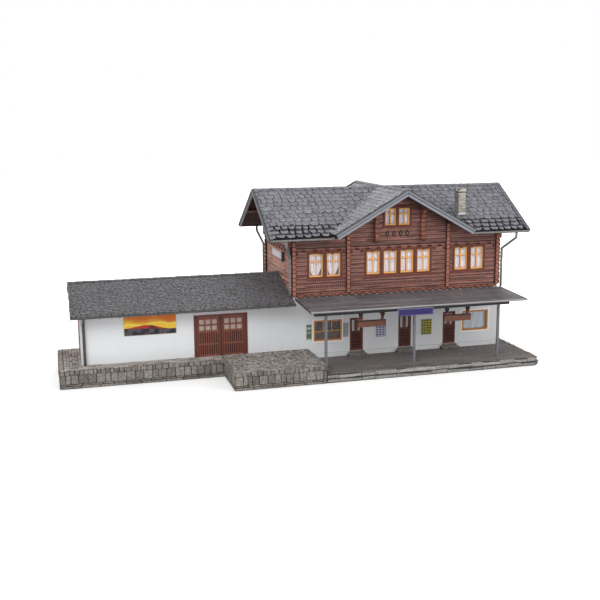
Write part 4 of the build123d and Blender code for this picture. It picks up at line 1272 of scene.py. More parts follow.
class STATION_OT_fit_windows(bpy.types.Operator):
    """Fit bars, panes and sills to every window, and surrounds to the ground storey's"""

    bl_idname = "station.fit_windows"
    bl_label = "Fit the windows"

    def execute(self, context):
        windows = context.scene.station_windows
        timber = context.scene.station_timber
        ochre = painted_finish("ochre_paint", windows.ochre, 0.4, 0.16, 0.05)
        orange = painted_finish("orange_paint", windows.orange, 0.4, 0.2, 0.05)
        dress("upper_window_frames", ochre)
        dress("ground_window_frames", orange)
        pane = glass_finish("window_pane", (0.70, 0.74, 0.82), 0.10)
        dark_pane = glass_finish("shaded_pane", (0.26, 0.25, 0.27), 0.35)
        bars, panes, sills, low_bars, surrounds = (Shape() for _ in range(5))
        bar, ring = windows.bar / MM, FRAME_BAR
        for face, group in upper_windows():
            half, top = group.width / 2 - ring, group.height
            cross = top * windows.bar_share
            for centre in group.centres:
                add_spans(bars, face, [(-bar / 2, bar / 2, ring, top - ring, -1.25, -0.25),
                                       (-half, half, cross - bar / 2, cross + bar / 2, -1.25, -0.35)],
                          (centre, group.sill), 0.15)
            outlines = [rectangle(centre, group.width - 1, group.sill + 0.5, top - 1)
                        for centre in group.centres]
            add_plates(panes, outlines, -1.42, -1.30, face=face)
            ends = (group.left() - CASING - 0.7, group.right() + CASING + 0.7)
            add_spans(sills, face, [(*ends, -CASING - 0.55, -CASING + 0.35, INTO_WALL, 1.25),
                                    (*ends, top + CASING - 0.2, top + CASING + 0.45, INTO_WALL,
                                     0.95)], (0, group.sill), 0.2)
        wide, tall = GROUND_GROUP.width, GROUND_GROUP.height
        for face, centre, net in ground_windows():
            if not net:
                add_ground_bars(low_bars, face, centre)
            outline = rectangle(centre, wide - 1.4, GROUND_SILL + 0.7, tall - 1.4)
            add_plates(panes, [outline], -1.30, -1.18, face=face, material=0 if net else 1)
            add_ring(surrounds, centre, wide + 2, GROUND_SILL - 1, tall + 2, 1, -0.3, 0.3, face)
        bars.piece("window_bars", "window_ochre", ochre)
        low_bars.piece("ground_window_bars", "window_orange",
                       painted_finish("yellow_paint", shade(windows.ochre, 0.75), 0.45, 0.2, 0.1),
                       orange)
        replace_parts(panes.piece("window_panes", "glazing", pane, dark_pane), "window_glass")
        # Sills and head boards 1.35 times lighter than the casings: painted light on their lit top edges.
        sills.piece("window_sills", "casing_brown",
                    timber_finish("lit_sill_wood", shade(timber.casing_colour, 1.35)))
        surrounds.piece("window_surrounds", "plaster",
                        painted_finish("surround_paint", (1.0, 0.99, 0.96), 0.7, 0.03, 0.0))
        return {"FINISHED"}


FULL_TURN = 6.28


def add_curtain(shape, face, centre, side, group, tied, rng):
    """Half a pair of curtains: a sheet from rail to sill with folds.

    Across, u runs from the window's edge to its middle. The depth is a sum of two sines
    of u whose phase drifts downwards. A tied curtain is gathered to the middle by a
    power of the distance below its tie.
    """
    down, across = np.meshgrid(np.linspace(0, 1, 13), np.linspace(0, 1, 19), indexing="ij")
    half = group.width / 2 - 0.35
    fullness = rng.uniform(0.93, 0.99)
    if tied:
        fall = np.clip((down - rng.uniform(0.40, 0.55)) / 0.55, 0, 1)
        drawn = 1.0 - rng.uniform(0.5, 0.75) * fall ** 1.3
        u = centre + side * half * (1.0 - across) * drawn
    else:
        drawn = fullness - 0.05 * down * rng.uniform(0.2, 1.0)
        u = centre + side * half * (1.0 - across * drawn)
    v = group.sill + 0.4 + (group.height - 0.8) * (1 - down)
    phase = rng.uniform(0, FULL_TURN)
    folds = (np.sin(across * 21 + phase + down * 0.9)
             + 0.5 * np.sin(across * 37 + phase * 1.7 - down * 0.5))
    points = face.place(columns(u, v, 0.22 * folds - 2.15))
    # Tone follows the fold's depth: painted light on the crests and painted shade in the hollows.
    tone = 0.55 + 0.3 * folds
    if side > 0:
        points, tone = points[:, ::-1], tone[:, ::-1]
    add_sheet(shape, points[::-1], -CLOTH * face.out, tone[::-1])


def add_net(shape, face, centre, rng):
    """A net curtain right across a ground window, with fine uneven folds."""
    down, across = np.meshgrid(np.linspace(0, 1, 11), np.linspace(-0.5, 0.5, 61), indexing="ij")
    phase = rng.uniform(0, FULL_TURN)
    folds = (np.sin(across * 74 + phase + 0.6 * down) + 0.7 * np.sin(across * 131 + phase)
             + 0.5 * np.sin(across * 23 + 3 * down))
    wide, tall = GROUND_GROUP.width - 2.2, GROUND_GROUP.height - 1.8
    points = face.place(columns(centre + across * wide, GROUND_SILL + 0.9 + tall * (1 - down),
                                0.1 * folds - 1.75))
    # Tone follows the fold's depth, as painted light and shade.
    add_sheet(shape, points[::-1], -CLOTH * face.out, (0.5 + 0.22 * folds)[::-1])


class STATION_OT_hang_curtains(bpy.types.Operator):
    """Hang the lace and net curtains and close the rooms behind the windows"""

    bl_idname = "station.hang_curtains"
    bl_label = "Hang the curtains"

    def execute(self, context):
        windows = context.scene.station_windows
        rng = np.random.default_rng(77)
        # Dark blue-grey boxes behind the windows: painted shadow of the unlit rooms.
        room = Finish("room_shadow", (0.073, 0.115, 0.168), 0.9, 0.1)
        room.mottle(0.5, 6, 3)
        gloom = room.done()
        desk = painted_finish("desk_wood", (0.20, 0.085, 0.035), 0.6, 0.3, 0.02)
        curtains, nets, rooms = Shape(), Shape(), Shape()
        for face, group in upper_windows():
            tied = group.centres.mean() * face.along[0] < -2 * CASING
            half = group.width / 2 - 0.1
            for centre in group.centres:
                for side in (-1, 1):
                    add_curtain(curtains, face, centre, side, group, tied, rng)
                add_spans(rooms, face, [(-half, half, 0.1, group.height - 0.1, -2.95, -2.75)],
                          (centre, group.sill), 0.02)
        half, tall = GROUND_GROUP.width / 2, GROUND_GROUP.height
        for face, centre, netted in ground_windows():
            if netted:
                add_net(nets, face, centre, rng)
            add_spans(rooms, face, [(-half - 0.8, half + 0.8, -0.8, tall + 0.8, -5.4, -5.2)],
                      (centre, GROUND_SILL), 0.02)
            if not netted:
                add_spans(rooms, face, [(0.2 - half, half - 0.2, 0.2, 6.6, -5.1, -3.2)],
                          (centre, GROUND_SILL), 0.3, material=1)
        curtains.piece("lace_curtains", "notice_paper",
                       cloth_finish("lace_curtain", windows.lace, 0.45), smooth=True)
        nets.piece("net_curtains", "notice_paper",
                   cloth_finish("net_curtain", windows.net, 0.18), smooth=True)
        rooms.piece("room_shadows_and_desks", "floor_plastic", gloom, desk)
        return {"FINISHED"}


# ---- Doors and plaster ----
def add_door(shape, reveals, face, centre, row):
    """Louvres below, two raised pane frames above, rails between, a frame and a knob."""
    half, top, foot = row.width / 2, row.height, (centre, row.sill)
    slats = columns(centre, np.arange(8) * 1.5 + row.sill + 2.4, -0.5)
    add_blocks(shape, slats, (half - 2.0, 0.36, 0.18), 0.14, face=face)
    spans = [(0.5 - half, half - 0.5, *rail, -0.6, -0.22)
             for rail in ((0.1, 1.6), (14.0, 15.1), (top - 1.5, top - 0.4))]
    spans.append((-1.2, 1.2, 15, top - 1.4, -0.6, -0.3))
    for side in (-1, 1):
        stile = side * (half - 1.35)
        spans += [(side * half, side * (half - 0.75), 0, top, -1.9, 0.12),
                  (stile - 0.5, stile + 0.5, 0.3, top - 0.6, -0.6, -0.25)]
    spans.append((-half, half, top - 0.75, top, -1.9, 0.12))
    add_spans(shape, face, spans, foot)
    add_spans(shape, face, [(half - 2.1, half - 1.5, 12.6, 13.2, -0.35, 0.1)], foot, 0.25)
    add_spans(reveals, face, [(-half - 0.5, half + 0.5, -0.45, 0.25, -1.2, 0.35)], foot)


def add_goods_doors(shape):
    """Stiles, rails and narrow upright boards on both leaves, front and back."""
    low, high = node_box("goods_door_frames")
    edge, back = 1.3, -0.7
    tall = high[2] - edge - low[2]
    panel_top = tall - 12.4
    rail = 0.48 * panel_top
    for face, turn in ((FRONT_FACE, 1), (BACK_FACE, -1)):
        places = (low[0] + edge, (low[0] + high[0]) / 2, high[0] - edge)
        for leaf in (places[:2], places[1:]):
            near, far = np.sort(turn * (np.array(leaf) - MID)) + (0.15, -0.15)
            for side in (near + 0.9, far - 0.9):
                add_spans(shape, face, [(-0.9, 0.9, 0, tall, back, -0.12)], (side, low[2]), material=2)
            add_spans(shape, face, [(near + 1.7, far - 1.7, level, level + wide, back, -0.16)
                                    for level, wide in ((0, 1.5), (rail, 1.3), (panel_top, 1.3),
                                                        (tall - 1.2, 1.2))],
                      (0, low[2]), tone=0.6)
            for start, end in ((1.5, rail), (rail + edge, panel_top)):
                add_spans(shape, face, [(near + 1.5, far - 1.5, start, end, back, -0.42)],
                          (0, low[2]), 0.02, material=1)
                boards = columns(spaced(near + 1.8, far - 1.8, 1.55), low[2] + (start + end) / 2, -0.5)
                add_blocks(shape, boards, (0.45, (end - start) / 2, 0.25), 0.16, face=face, tone=0.45)
    for face, turn in ((FRONT_FACE, 1), (BACK_FACE, -1)):
        near, far = sorted((turn * (low[0] - MID), turn * (high[0] - MID)))
        add_spans(shape, face, [(near - 0.2, near + 1.1, 0, tall + edge, -0.3, 0.35),
                                (far - 1.1, far + 0.2, 0, tall + edge, -0.3, 0.35),
                                (near, far, tall + 0.2, tall + 1.4, -0.3, 0.35)],
                  (0, low[2]), material=2)
        add_spans(shape, face, [(-0.3, 0.3, 0, tall, back, -0.05)], ((near + far) / 2, low[2]), 0.02,
                  material=1)


def add_side_door(shape):
    """Upright boards and two ledges on the shed's side door, with a frame round it."""
    low, high = node_box("shed_side_door")
    face = upright(SHED_LEFT, RIDGE_Y, 0, -1)
    near, far, tall = RIDGE_Y - high[1], RIDGE_Y - low[1], high[2] - low[2]
    boards = columns(spaced(near + 0.3, far - 0.3, 2.4), low[2] + tall / 2, -0.4)
    add_blocks(shape, boards, (1.1, tall / 2 - 0.3, 0.25), 0.15, face=face,
               tone=np.linspace(0.35, 0.65, len(boards)))
    add_spans(shape, face, [(near + 1.5, far - 1.5, level, level + 1.8, -0.4, 0.1)
                            for level in (4, tall - 6)], (0, low[2]))
    add_ring(shape, (near + far) / 2, far - near + 1.6, low[2], tall + 0.8, 0.9, -0.3, 0.3, face)


class STATION_OT_fit_doors(bpy.types.Operator):
    """Panel the station doors, the goods doors and the shed's side door"""

    bl_idname = "station.fit_doors"
    bl_label = "Fit the doors"

    def execute(self, context):
        timber = context.scene.station_timber
        windows = context.scene.station_windows
        brown = painted_finish("door_paint", shade(timber.door_colour, 1.6), 0.5, 0.25, 0.02)
        goods = painted_finish("goods_paint", timber.goods_colour, 0.5, 0.25, 0.06)
        frosted = Finish("frosted_pane", windows.pane, 0.35)
        frosted.colour = frosted.mix(frosted.along(0, LEFT - 1, LEFT + 1), windows.pane,
                                     (0.82, 0.78, 0.78))
        frosted.mottle(0.15, 3)
        pale = painted_finish("reveal_paint", (0.62, 0.58, 0.54), 0.7, 0.12, 0.2)
        dark = painted_finish("door_shadow", shade(timber.door_colour, 0.16), 0.8, 0.2, 0.0)
        frame_paint = painted_finish("goods_frame_paint", shade(timber.goods_colour, 0.62), 0.5, 0.25,
                                     0.06)
        dress("station_doors", dark)
        dress("goods_doors shed_side_door", goods)
        dress("goods_door_frames", frame_paint)
        dress("door_glass", frosted.done())
        panels, boards, reveals = Shape(), Shape(), Shape()
        for face, row in DOOR_ROWS:
            for centre in row.centres:
                add_door(panels, reveals, face, centre, row)
        add_goods_doors(boards)
        add_side_door(boards)
        panels.piece("door_panels", "door_brown", brown)
        boards.piece("goods_door_boards", "door_brown", goods, dark, frame_paint)
        reveals.piece("door_thresholds", "plaster", pale)
        return {"FINISHED"}


STEP_HALF = 7.4
STEP_GAP = STEP_HALF + 0.3


class STATION_OT_plaster_walls(bpy.types.Operator):
    """Plaster the ground storey and the shed, with a plinth band at the foot"""

    bl_idname = "station.plaster_walls"
    bl_label = "Plaster the walls"

    def execute(self, context):
        walls = context.scene.station_walls
        plaster = plaster_finish("lime_plaster", walls.plaster)
        dress("station_front_wall station_back_wall station_left_wall station_right_wall "
              "shed_front_wall shed_back_wall shed_left_wall", plaster)
        dress("shed_floor upper_floor attic_floor", plaster_finish("plain_floor", (0.30, 0.27, 0.24)))
        bands = Shape()
        half, depth, top = LENGTH / 2, (BACK - FRONT) / 2, walls.plinth / MM
        for face, centres, low, high in ((FRONT_FACE, DOORS.centres, RAMP_HIGH[0] - MID, half),
                                         (BACK_FACE, REAR_DOOR.centres, -half, half),
                                         (RIGHT_FACE, (), -depth, depth)):
            gaps = [centre + side for centre in centres for side in (-STEP_GAP, STEP_GAP)]
            edges = [low, *gaps, high]
            ends = list(zip(edges[::2], edges[1::2]))
            add_spans(bands, face, [(*pair, -0.1, top, INTO_WALL, 0.3) for pair in ends],
                      (0, BASE_TOP), 0.14)
            add_spans(bands, face, [(*pair, top, top + 0.5, INTO_WALL, 0.08) for pair in ends],
                      (0, BASE_TOP), 0.02, material=1)
        bands.piece("plinth_bands", "plaster", plaster,
                    plaster_finish("plinth_line", shade(walls.plaster, 0.72)))
        return {"FINISHED"}


# ---- Ground works ----
def ends_to(low, high, lengths, least):
    """Edges of stones of the lengths laid from low, with the last ending at high."""
    edges = low + np.append(0.0, np.cumsum(lengths))
    return np.append(edges[edges < high - least], high)


def add_ashlar(shape, face, low, high, courses, rng):
    """Courses of cut blocks on an upright face.

    Each course is (foot, top, shortest, longest, extra reach); block lengths are drawn at
    random, and every block has its own small shift, tilt and shade.
    """
    for foot, top, shortest, longest, reach in courses:
        lengths = rng.uniform(shortest, longest, int((high - low) / shortest) + 2)
        edges = ends_to(low, high, lengths, 0.35 * shortest)
        count = len(edges) - 1
        out = reach + 0.35 * rng.uniform(0.6, 1.3, count)
        tops = top - 0.12 + rng.uniform(-0.12, 0.10, count)
        add_boxes(shape, columns(edges[:-1] + 0.2, foot + 0.12, -0.8),
                  columns(edges[1:] - 0.2, tops, out), 0.28, face=face,
                  tone=rng.uniform(0, 1, count), wobble=0.10, rng=rng)


def add_paving(shape, face, low, high, size, rng, along_u=True, proud=0.34, spread=0.3):
    """Rows of paving stones in a rectangle of a level face, each row offset from the last."""
    (u0, u1), (v0, v1) = [(low[axis], high[axis]) for axis in ((0, 1) if along_u else (1, 0))]
    rows = max(1, int(round((v1 - v0) / size[1])))
    depth = (v1 - v0) / rows
    for row in range(rows):
        lengths = size[0] * (1 + spread * rng.uniform(-1, 1, int((u1 - u0) / size[0] / (1 - spread)) + 3))
        edges = u0 - rng.uniform(0, size[0]) + np.append(0, np.cumsum(lengths))
        edges = np.unique(np.clip(edges, u0, u1))
        wide = np.diff(edges)
        keep = wide > 0.25 * size[0]
        middle, wide = ((edges[:-1] + edges[1:]) / 2)[keep], wide[keep]
        count = len(wide)
        centres = columns(middle, v0 + (row + 0.5) * depth, rng.uniform(-0.10, 0.06, count))
        halves = columns(wide / 2 - 0.10, depth / 2 - 0.10, proud)
        if not along_u:
            centres, halves = centres[:, (1, 0, 2)], halves[:, (1, 0, 2)]
        add_blocks(shape, centres, halves, 0.24, face=face, tone=rng.uniform(0, 1, count),
                   wobble=0.07, rng=rng)


def add_herringbone(shape, face, low, high, width, rng):
    """Herringbone stones, twice as long as wide, turned by an eighth of a circle.

    Pairs of a lying and a standing stone repeat along (1, 1) and (2, -2) widths. Stones past
    the rectangle's edge are drawn in to it.
    """
    low, high = np.array(low), np.array(high)
    reach = int((high - low).max() / width)
    first, second = np.meshgrid(np.arange(-reach, reach), np.arange(-reach // 2, reach // 2),
                                indexing="ij")
    origin = columns(first + 2 * second, first - 2 * second).reshape(-1, 2)
    for offset, quarter in (((1.0, 0.5), 0.0), ((2.5, 0.0), math.pi / 2)):
        u, v = (origin + offset).T * width / math.sqrt(2)
        centre = columns(u - v, u + v) + (low + high) / 2
        centre = centre[((centre > low - 0.4 * width) & (centre < high + 0.4 * width)).all(axis=1)]
        count = len(centre)
        places = np.concatenate([centre, rng.uniform(-0.12, 0.08, (count, 1))], axis=1)
        add_blocks(shape, places, (width - 0.28, width / 2 - 0.28, 0.34), 0.2, face=face,
                   tone=rng.uniform(0, 1, count), wobble=0.06, rng=rng,
                   turn=math.pi / 4 + quarter, clip=(low, high))


def lay_steps(rng, finish):
    """Treads and risers on each door's two steps, with dark gaps under the treads that are joints
    and painted shadow under the nosings. Treads take a light tone and risers darker ones: painted
    light and shade.
    """
    shape = Shape()
    rise, tread, half = (DOOR_SILL - BASE_TOP) / 2, 2.25, STEP_HALF
    for face, centre in [(face, centre) for face, row in DOOR_ROWS for centre in row.centres]:
        for top, reach, side in ((BASE_TOP + rise, 2 * tread, half), (DOOR_SILL, tread, half - 1.5)):
            # Treads in a light tone: painted light on their tops and nosings.
            add_spans(shape, face, [(-side - 0.2, side + 0.2, -0.55, 0.1, -0.2, reach + 0.3)],
                      (centre, top), 0.15, tone=0.9)
            edges = np.linspace(centre - side, centre + side, 4)
            edges[1:-1] += rng.uniform(-1, 1, 2)
            # Risers in darker tones: painted shade.
            add_boxes(shape, columns(edges[:-1] + 0.1, top - rise, reach - 1),
                      columns(edges[1:] - 0.1, top - 0.85, reach + 0.15), 0.15, face=face,
                      tone=rng.uniform(0.1, 0.6, 3))
    shape.piece("step_stones", "step_stone", finish)


def face_walls(rng, stone):
    """Ashlar on every outer side of the platform and the ramp."""
    top = PLATFORM_HIGH[2] + 0.1
    coping = 9.9
    last = (coping, top, 2.2, 5.0, 0.5)
    courses = ((0.2, 1.9, 8, 15, 0.25), (1.9, 3.3, 5, 10, 0.0), (3.3, coping, 3.2, 6.8, 0.05), last)
    upper = ((BASE_TOP, coping, 3.2, 6.8, 0.05), last)
    (x0, y0, _), (_, y1, _) = PLATFORM_LOW, PLATFORM_HIGH
    (ramp_x0, ramp_y0, _), ramp_x1 = RAMP_LOW, RAMP_HIGH[0]
    shape = Shape()
    sides = ((x0, y0, 1, 0, 0.0, ramp_x0 - x0, courses), (x0, y1, 0, -1, 0.0, y1 - y0, courses),
             (SHED_LEFT, y1, -1, 0, 0.0, SHED_LEFT - x0, courses),
             (ramp_x0, ramp_y0, 1, 0, 0.0, ramp_x1 - ramp_x0, courses),
             (ramp_x0, y0, 0, -1, 0.0, y0 - ramp_y0, courses),
             (ramp_x1, ramp_y0, 0, 1, 3.0, FRONT - ramp_y0, upper))
    for x, y, way_x, way_y, low, high, rows in sides:
        add_ashlar(shape, upright(x, y, way_x, way_y), low, high, rows, rng)
    shape.piece("platform_blocks", "platform_stone", stone)


def pave(rng, stone, edging, cobble):
    """Rows of stones on the platform, herringbone on the ramp, pale strips at its sides."""
    level = lying(0, 0, PLATFORM_HIGH[2])
    paving, strips = Shape(), Shape()
    (x0, y0, _), y1 = PLATFORM_LOW, PLATFORM_HIGH[1]
    (ramp_x0, ramp_y0, _), ramp_x1 = RAMP_LOW, RAMP_HIGH[0]
    rim, strip = 3.0, 1.3
    foot = ramp_y0 + rim
    add_paving(paving, level, (x0 + rim, y0 + rim), (ramp_x0, FRONT), (6.5, 1.9), rng)
    add_paving(paving, level, (x0 + rim, FRONT), (SHED_LEFT, y1), (4.2, 2.1), rng, along_u=False)
    add_paving(strips, level, (x0, y0), (ramp_x0, y0 + rim - 0.2), (4.8, 2.8), rng, proud=0.42)
    add_paving(strips, level, (x0, y0 + rim), (x0 + rim - 0.2, y1), (4.8, 2.8), rng, along_u=False,
               proud=0.42)
    add_herringbone(paving, level, (ramp_x0 + strip, foot), (ramp_x1 - strip, FRONT), cobble, rng)
    for start in (ramp_x0, ramp_x1 - strip):
        add_paving(strips, level, (start + 0.05, foot), (start + strip - 0.05, FRONT), (13, strip),
                   rng, along_u=False, proud=0.55, spread=0.15)
    add_paving(strips, level, (ramp_x0, ramp_y0), (ramp_x1, foot - 0.15), (4.6, 2.9), rng, proud=0.5)
    paving.piece("platform_paving", "platform_stone", stone)
    strips.piece("platform_edging", "platform_stone", edging)


RIGHT_END = (1, 2, 3)


def set_kerb(rng, kerb, rubble):
    """Two courses of kerb stones round the base, rough ones on the sides at the right end."""
    (_, base_y0, _), (base_x1, base_y1, _) = node_box("station_base")
    stones, rocks = Shape(), Shape()
    for foot, top, out in ((3.1, BASE_TOP + 0.2, 2.4), (0.35, 2.6, 3.2)):
        x1, y0, y1 = base_x1 + out, base_y0 - out, base_y1 + out
        inset = 3.5 + out * (2 - math.sqrt(2))
        path = np.array([(RAMP_HIGH[0] + 0.5, y0), (x1 - inset, y0), (x1, y0 + inset),
                         (x1, y1 - inset), (x1 - inset, y1), (LEFT, y1)])
        for index, (start, end) in enumerate(zip(path[:-1], path[1:])):
            run = np.linalg.norm(end - start)
            face = upright(*start, *((end - start) / run))
            rough = index in RIGHT_END
            shape, span = (rocks, (2.8, 6.5)) if rough else (stones, (9.0, 19.0))
            edges = ends_to(0.0, run, rng.uniform(*span, int(run / span[0]) + 2), 2)
            count = len(edges) - 1
            reach = out * rng.uniform(0.85, 1.0, count) if rough else out
            rise = rng.uniform(-0.4, 0.4, count) if rough else rng.uniform(-0.35, 0.10, count)
            proud = rng.uniform(0.1, 0.45, count)
            add_boxes(shape, columns(edges[:-1] + 0.05, foot, -reach),
                      columns(edges[1:] - 0.05, top + rise, proud), 0.35, face=face,
                      tone=rng.uniform(0, 1, count) - (0.8 if foot < 1 else 0.0),
                      wobble=0.34 if rough else 0.26, rng=rng)
    stones.piece("kerb_blocks", "kerb_stone", kerb)
    rocks.piece("kerb_rubble", "kerb_stone", rubble)


class STATION_OT_dress_stone(bpy.types.Operator):
    """Face the platform and ramp with blocks, pave them, and set kerb and steps"""

    bl_idname = "station.dress_stone"
    bl_label = "Dress the stonework"

    def execute(self, context):
        stones = context.scene.station_stones
        rng = np.random.default_rng(905)
        mortar = stone_finish("dark_joint", stones.mortar, 0.1, 1.5)
        stone = stone_finish("platform_block", shade(stones.stone, 1.1), 0.28, 2.3, cracks=0.4)
        edging = stone_finish("edge_stone", shade(stones.stone, 1.6), 0.35, 2.1, cracks=0.6)
        kerb = stone_finish("kerb_block", stones.kerb, 0.2, 1.9, cracks=0.3)
        dress("loading_platform loading_ramp", mortar)
        dress("kerb_stones", stone_finish("kerb_joint", shade(stones.kerb, 0.22), 0.1, 1.4))
        # The dark step core shows in the joints and, under the nosings, as painted shadow.
        dress("door_steps", stone_finish("step_joint_shadow", shade(stones.stone, 0.3), 0.2))
        dress("station_base", asphalt_finish("rolled_asphalt", stones.asphalt))
        face_walls(rng, stone)
        pave(rng, stone_finish("paving_stone", shade(stones.stone, 1.6), 0.4, 2.4), edging,
             stones.cobble / MM)
        set_kerb(rng, kerb, stone_finish("rubble", shade(stones.stone, 1.25), 0.3))
        lay_steps(rng, stone_finish("step_block", shade(stones.stone, 1.1), 0.2))
        return {"FINISHED"}


# ---- Canopy, boards, gutters and chimney ----
def cap_hangers(timber):
    """Near-black caps on the hanging boards' upper edges, painted shadow on their tops, and blocks
    of the same colour round their hangers.
    """
    low, high = node_box("hanging_boards")
    half = (high[1] - low[1]) / 2
    face = upright(MID, (low[1] + high[1]) / 2, 1, 0)
    shape = Shape()
    for centre in at_shares(0.302, 0.7035):
        add_spans(shape, face, [(-11.1, 11.1, 4.15, 4.85, -half - 0.1, half + 0.12)],
                  (centre, low[2]))
        for side in (-8.6, 8.6):
            add_spans(shape, face, [(-1.5, 1.5, -2.2, -0.1, -half - 0.3, half + 0.3),
                                    (-1.0, 1.0, -3.4, -2.2, -half - 0.3, half + 0.3)],
                      (centre + side, high[2]), 0.4)
    shape.piece("hanger_caps", "log_ends", timber_finish("cap_shadow_wood", shade(timber.end_colour, 0.12)))


def edge_canopy(trim):
    """Pale flashings along the canopy's front and dark lips along its sides."""
    low, high = node_box("canopy_roof")
    front_top = high[2] - CANOPY_SLOPE * (FRONT - low[1])
    flashing, lip = Shape(), Shape()
    add_boxes(flashing, (low[0] - 0.1, low[1] - 0.3, front_top - 0.65),
              (high[0] + 0.1, low[1] + 0.4, front_top + 0.14), 0.12)
    flashing.piece("canopy_flashing", "gutter_grey",
                   streaked_finish("pale_zinc", shade(trim.gutter, 1.5), drift=0.14, roughness=0.4))
    outline = np.array([(low[1], front_top - 1.15), (FRONT, high[2] - 1.15), (FRONT, high[2] + 0.1),
                        (low[1], front_top + 0.1)])
    for x in (low[0] - 0.25, high[0] - 0.35):
        add_plates(lip, [outline], 0.0, 0.6, face=upright(x, 0, 0, 1))
    lip.piece("canopy_side_lips", "canopy_slate",
              streaked_finish("dark_lip", shade(trim.canopy, 0.35), along=1))


def hold_gutters(gutter):
    """Straps over the gutters and clips on the downpipes."""
    shape = Shape()
    for name, slope, clear in (("main_roof_front", MAIN_SLOPE, 55.5), ("shed_roof_front", SHED_SLOPE, 0)):
        low, high = node_box(name)
        eave = high[2] - slope * (RIDGE_Y - low[1])
        spots = spaced(low[0], high[0], 13)
        spots = spots[np.abs(spots - MID) > clear]
        for y in (low[1] - 1.3, 2 * RIDGE_Y - low[1] + 1.3):
            add_blocks(shape, columns(spots, y, eave - 1.95), (0.35, 0.95, 0.16), 0.1)
    corner = 1.9
    for x in (LEFT - corner, RIGHT + corner):
        for y in (FRONT - corner, BACK + corner):
            for z in (LOG_FLOOR + 7, LOG_FLOOR + 23):
                add_blocks(shape, (x, y, z), (1.3, 1.3, 0.35), 0.35)
    shape.piece("gutter_straps", "gutter_grey", gutter)


def hook_shed_eave():
    """Small dark hooks that stand along the shed's eaves."""
    low, high = node_box("shed_roof_front")
    run = RIDGE_Y - low[1]
    rng = np.random.default_rng(31)
    spots = spaced(low[0], high[0], 7.9)
    spots = spots + rng.uniform(-0.5, 0.5, len(spots))
    shape = Shape()
    for y in (RIDGE_Y - run + 0.2, RIDGE_Y + run - 0.2):
        add_blocks(shape, columns(spots, y, high[2] - SHED_SLOPE * run + 0.2), (0.24, 0.6, 0.95), 0.1)
    shape.piece("eave_hooks", "gutter_grey",
                painted_finish("hook_iron", (0.03, 0.03, 0.032), 0.6, 0.2, 0.1))


class STATION_OT_finish_trim(bpy.types.Operator):
    """Finish the canopy, barge boards, gutters, pipes and posts"""

    bl_idname = "station.finish_trim"
    bl_label = "Finish canopy and trim"

    def execute(self, context):
        trim = context.scene.station_trim
        timber = context.scene.station_timber
        ridge = node_box("main_roof_front")[1][2]
        dress("main_barge_boards",
              barge_finish("gable_board_paint", trim.barge, 1, RIDGE_Y, ridge, MAIN_SLOPE, 3.7))
        ridge = node_box("cross_roof_left")[1][2]
        dress("cross_barge_boards", barge_finish("cross_board_paint", shade(trim.barge, 1.1), 0, MID,
                                                 ridge, CROSS_SLOPE, 4.2))
        gutter = zinc_finish("zinc", trim.gutter)
        dress("gutters", gutter)
        dress("downpipes", zinc_finish("pipe_zinc", shade(trim.gutter, 0.75)))
        dress("canopy_posts", painted_finish("post_paint", trim.post, 0.45, 0.14, 0.3))
        dress("canopy_beam", painted_finish("beam_paint", shade(trim.post, 0.16), 0.5, 0.1, 0.02))
        dress("canopy_roof", streaked_finish("canopy_sheet", trim.canopy, drift=0.35, roughness=0.55,
                                             streak=0.7, patch=0.22))
        dress("hanging_boards", timber_finish("hanging_wood", shade(timber.end_colour, 0.5), drift=0.6))
        cap_hangers(timber)
        edge_canopy(trim)
        hold_gutters(gutter)
        hook_shed_eave()
        return {"FINISHED"}


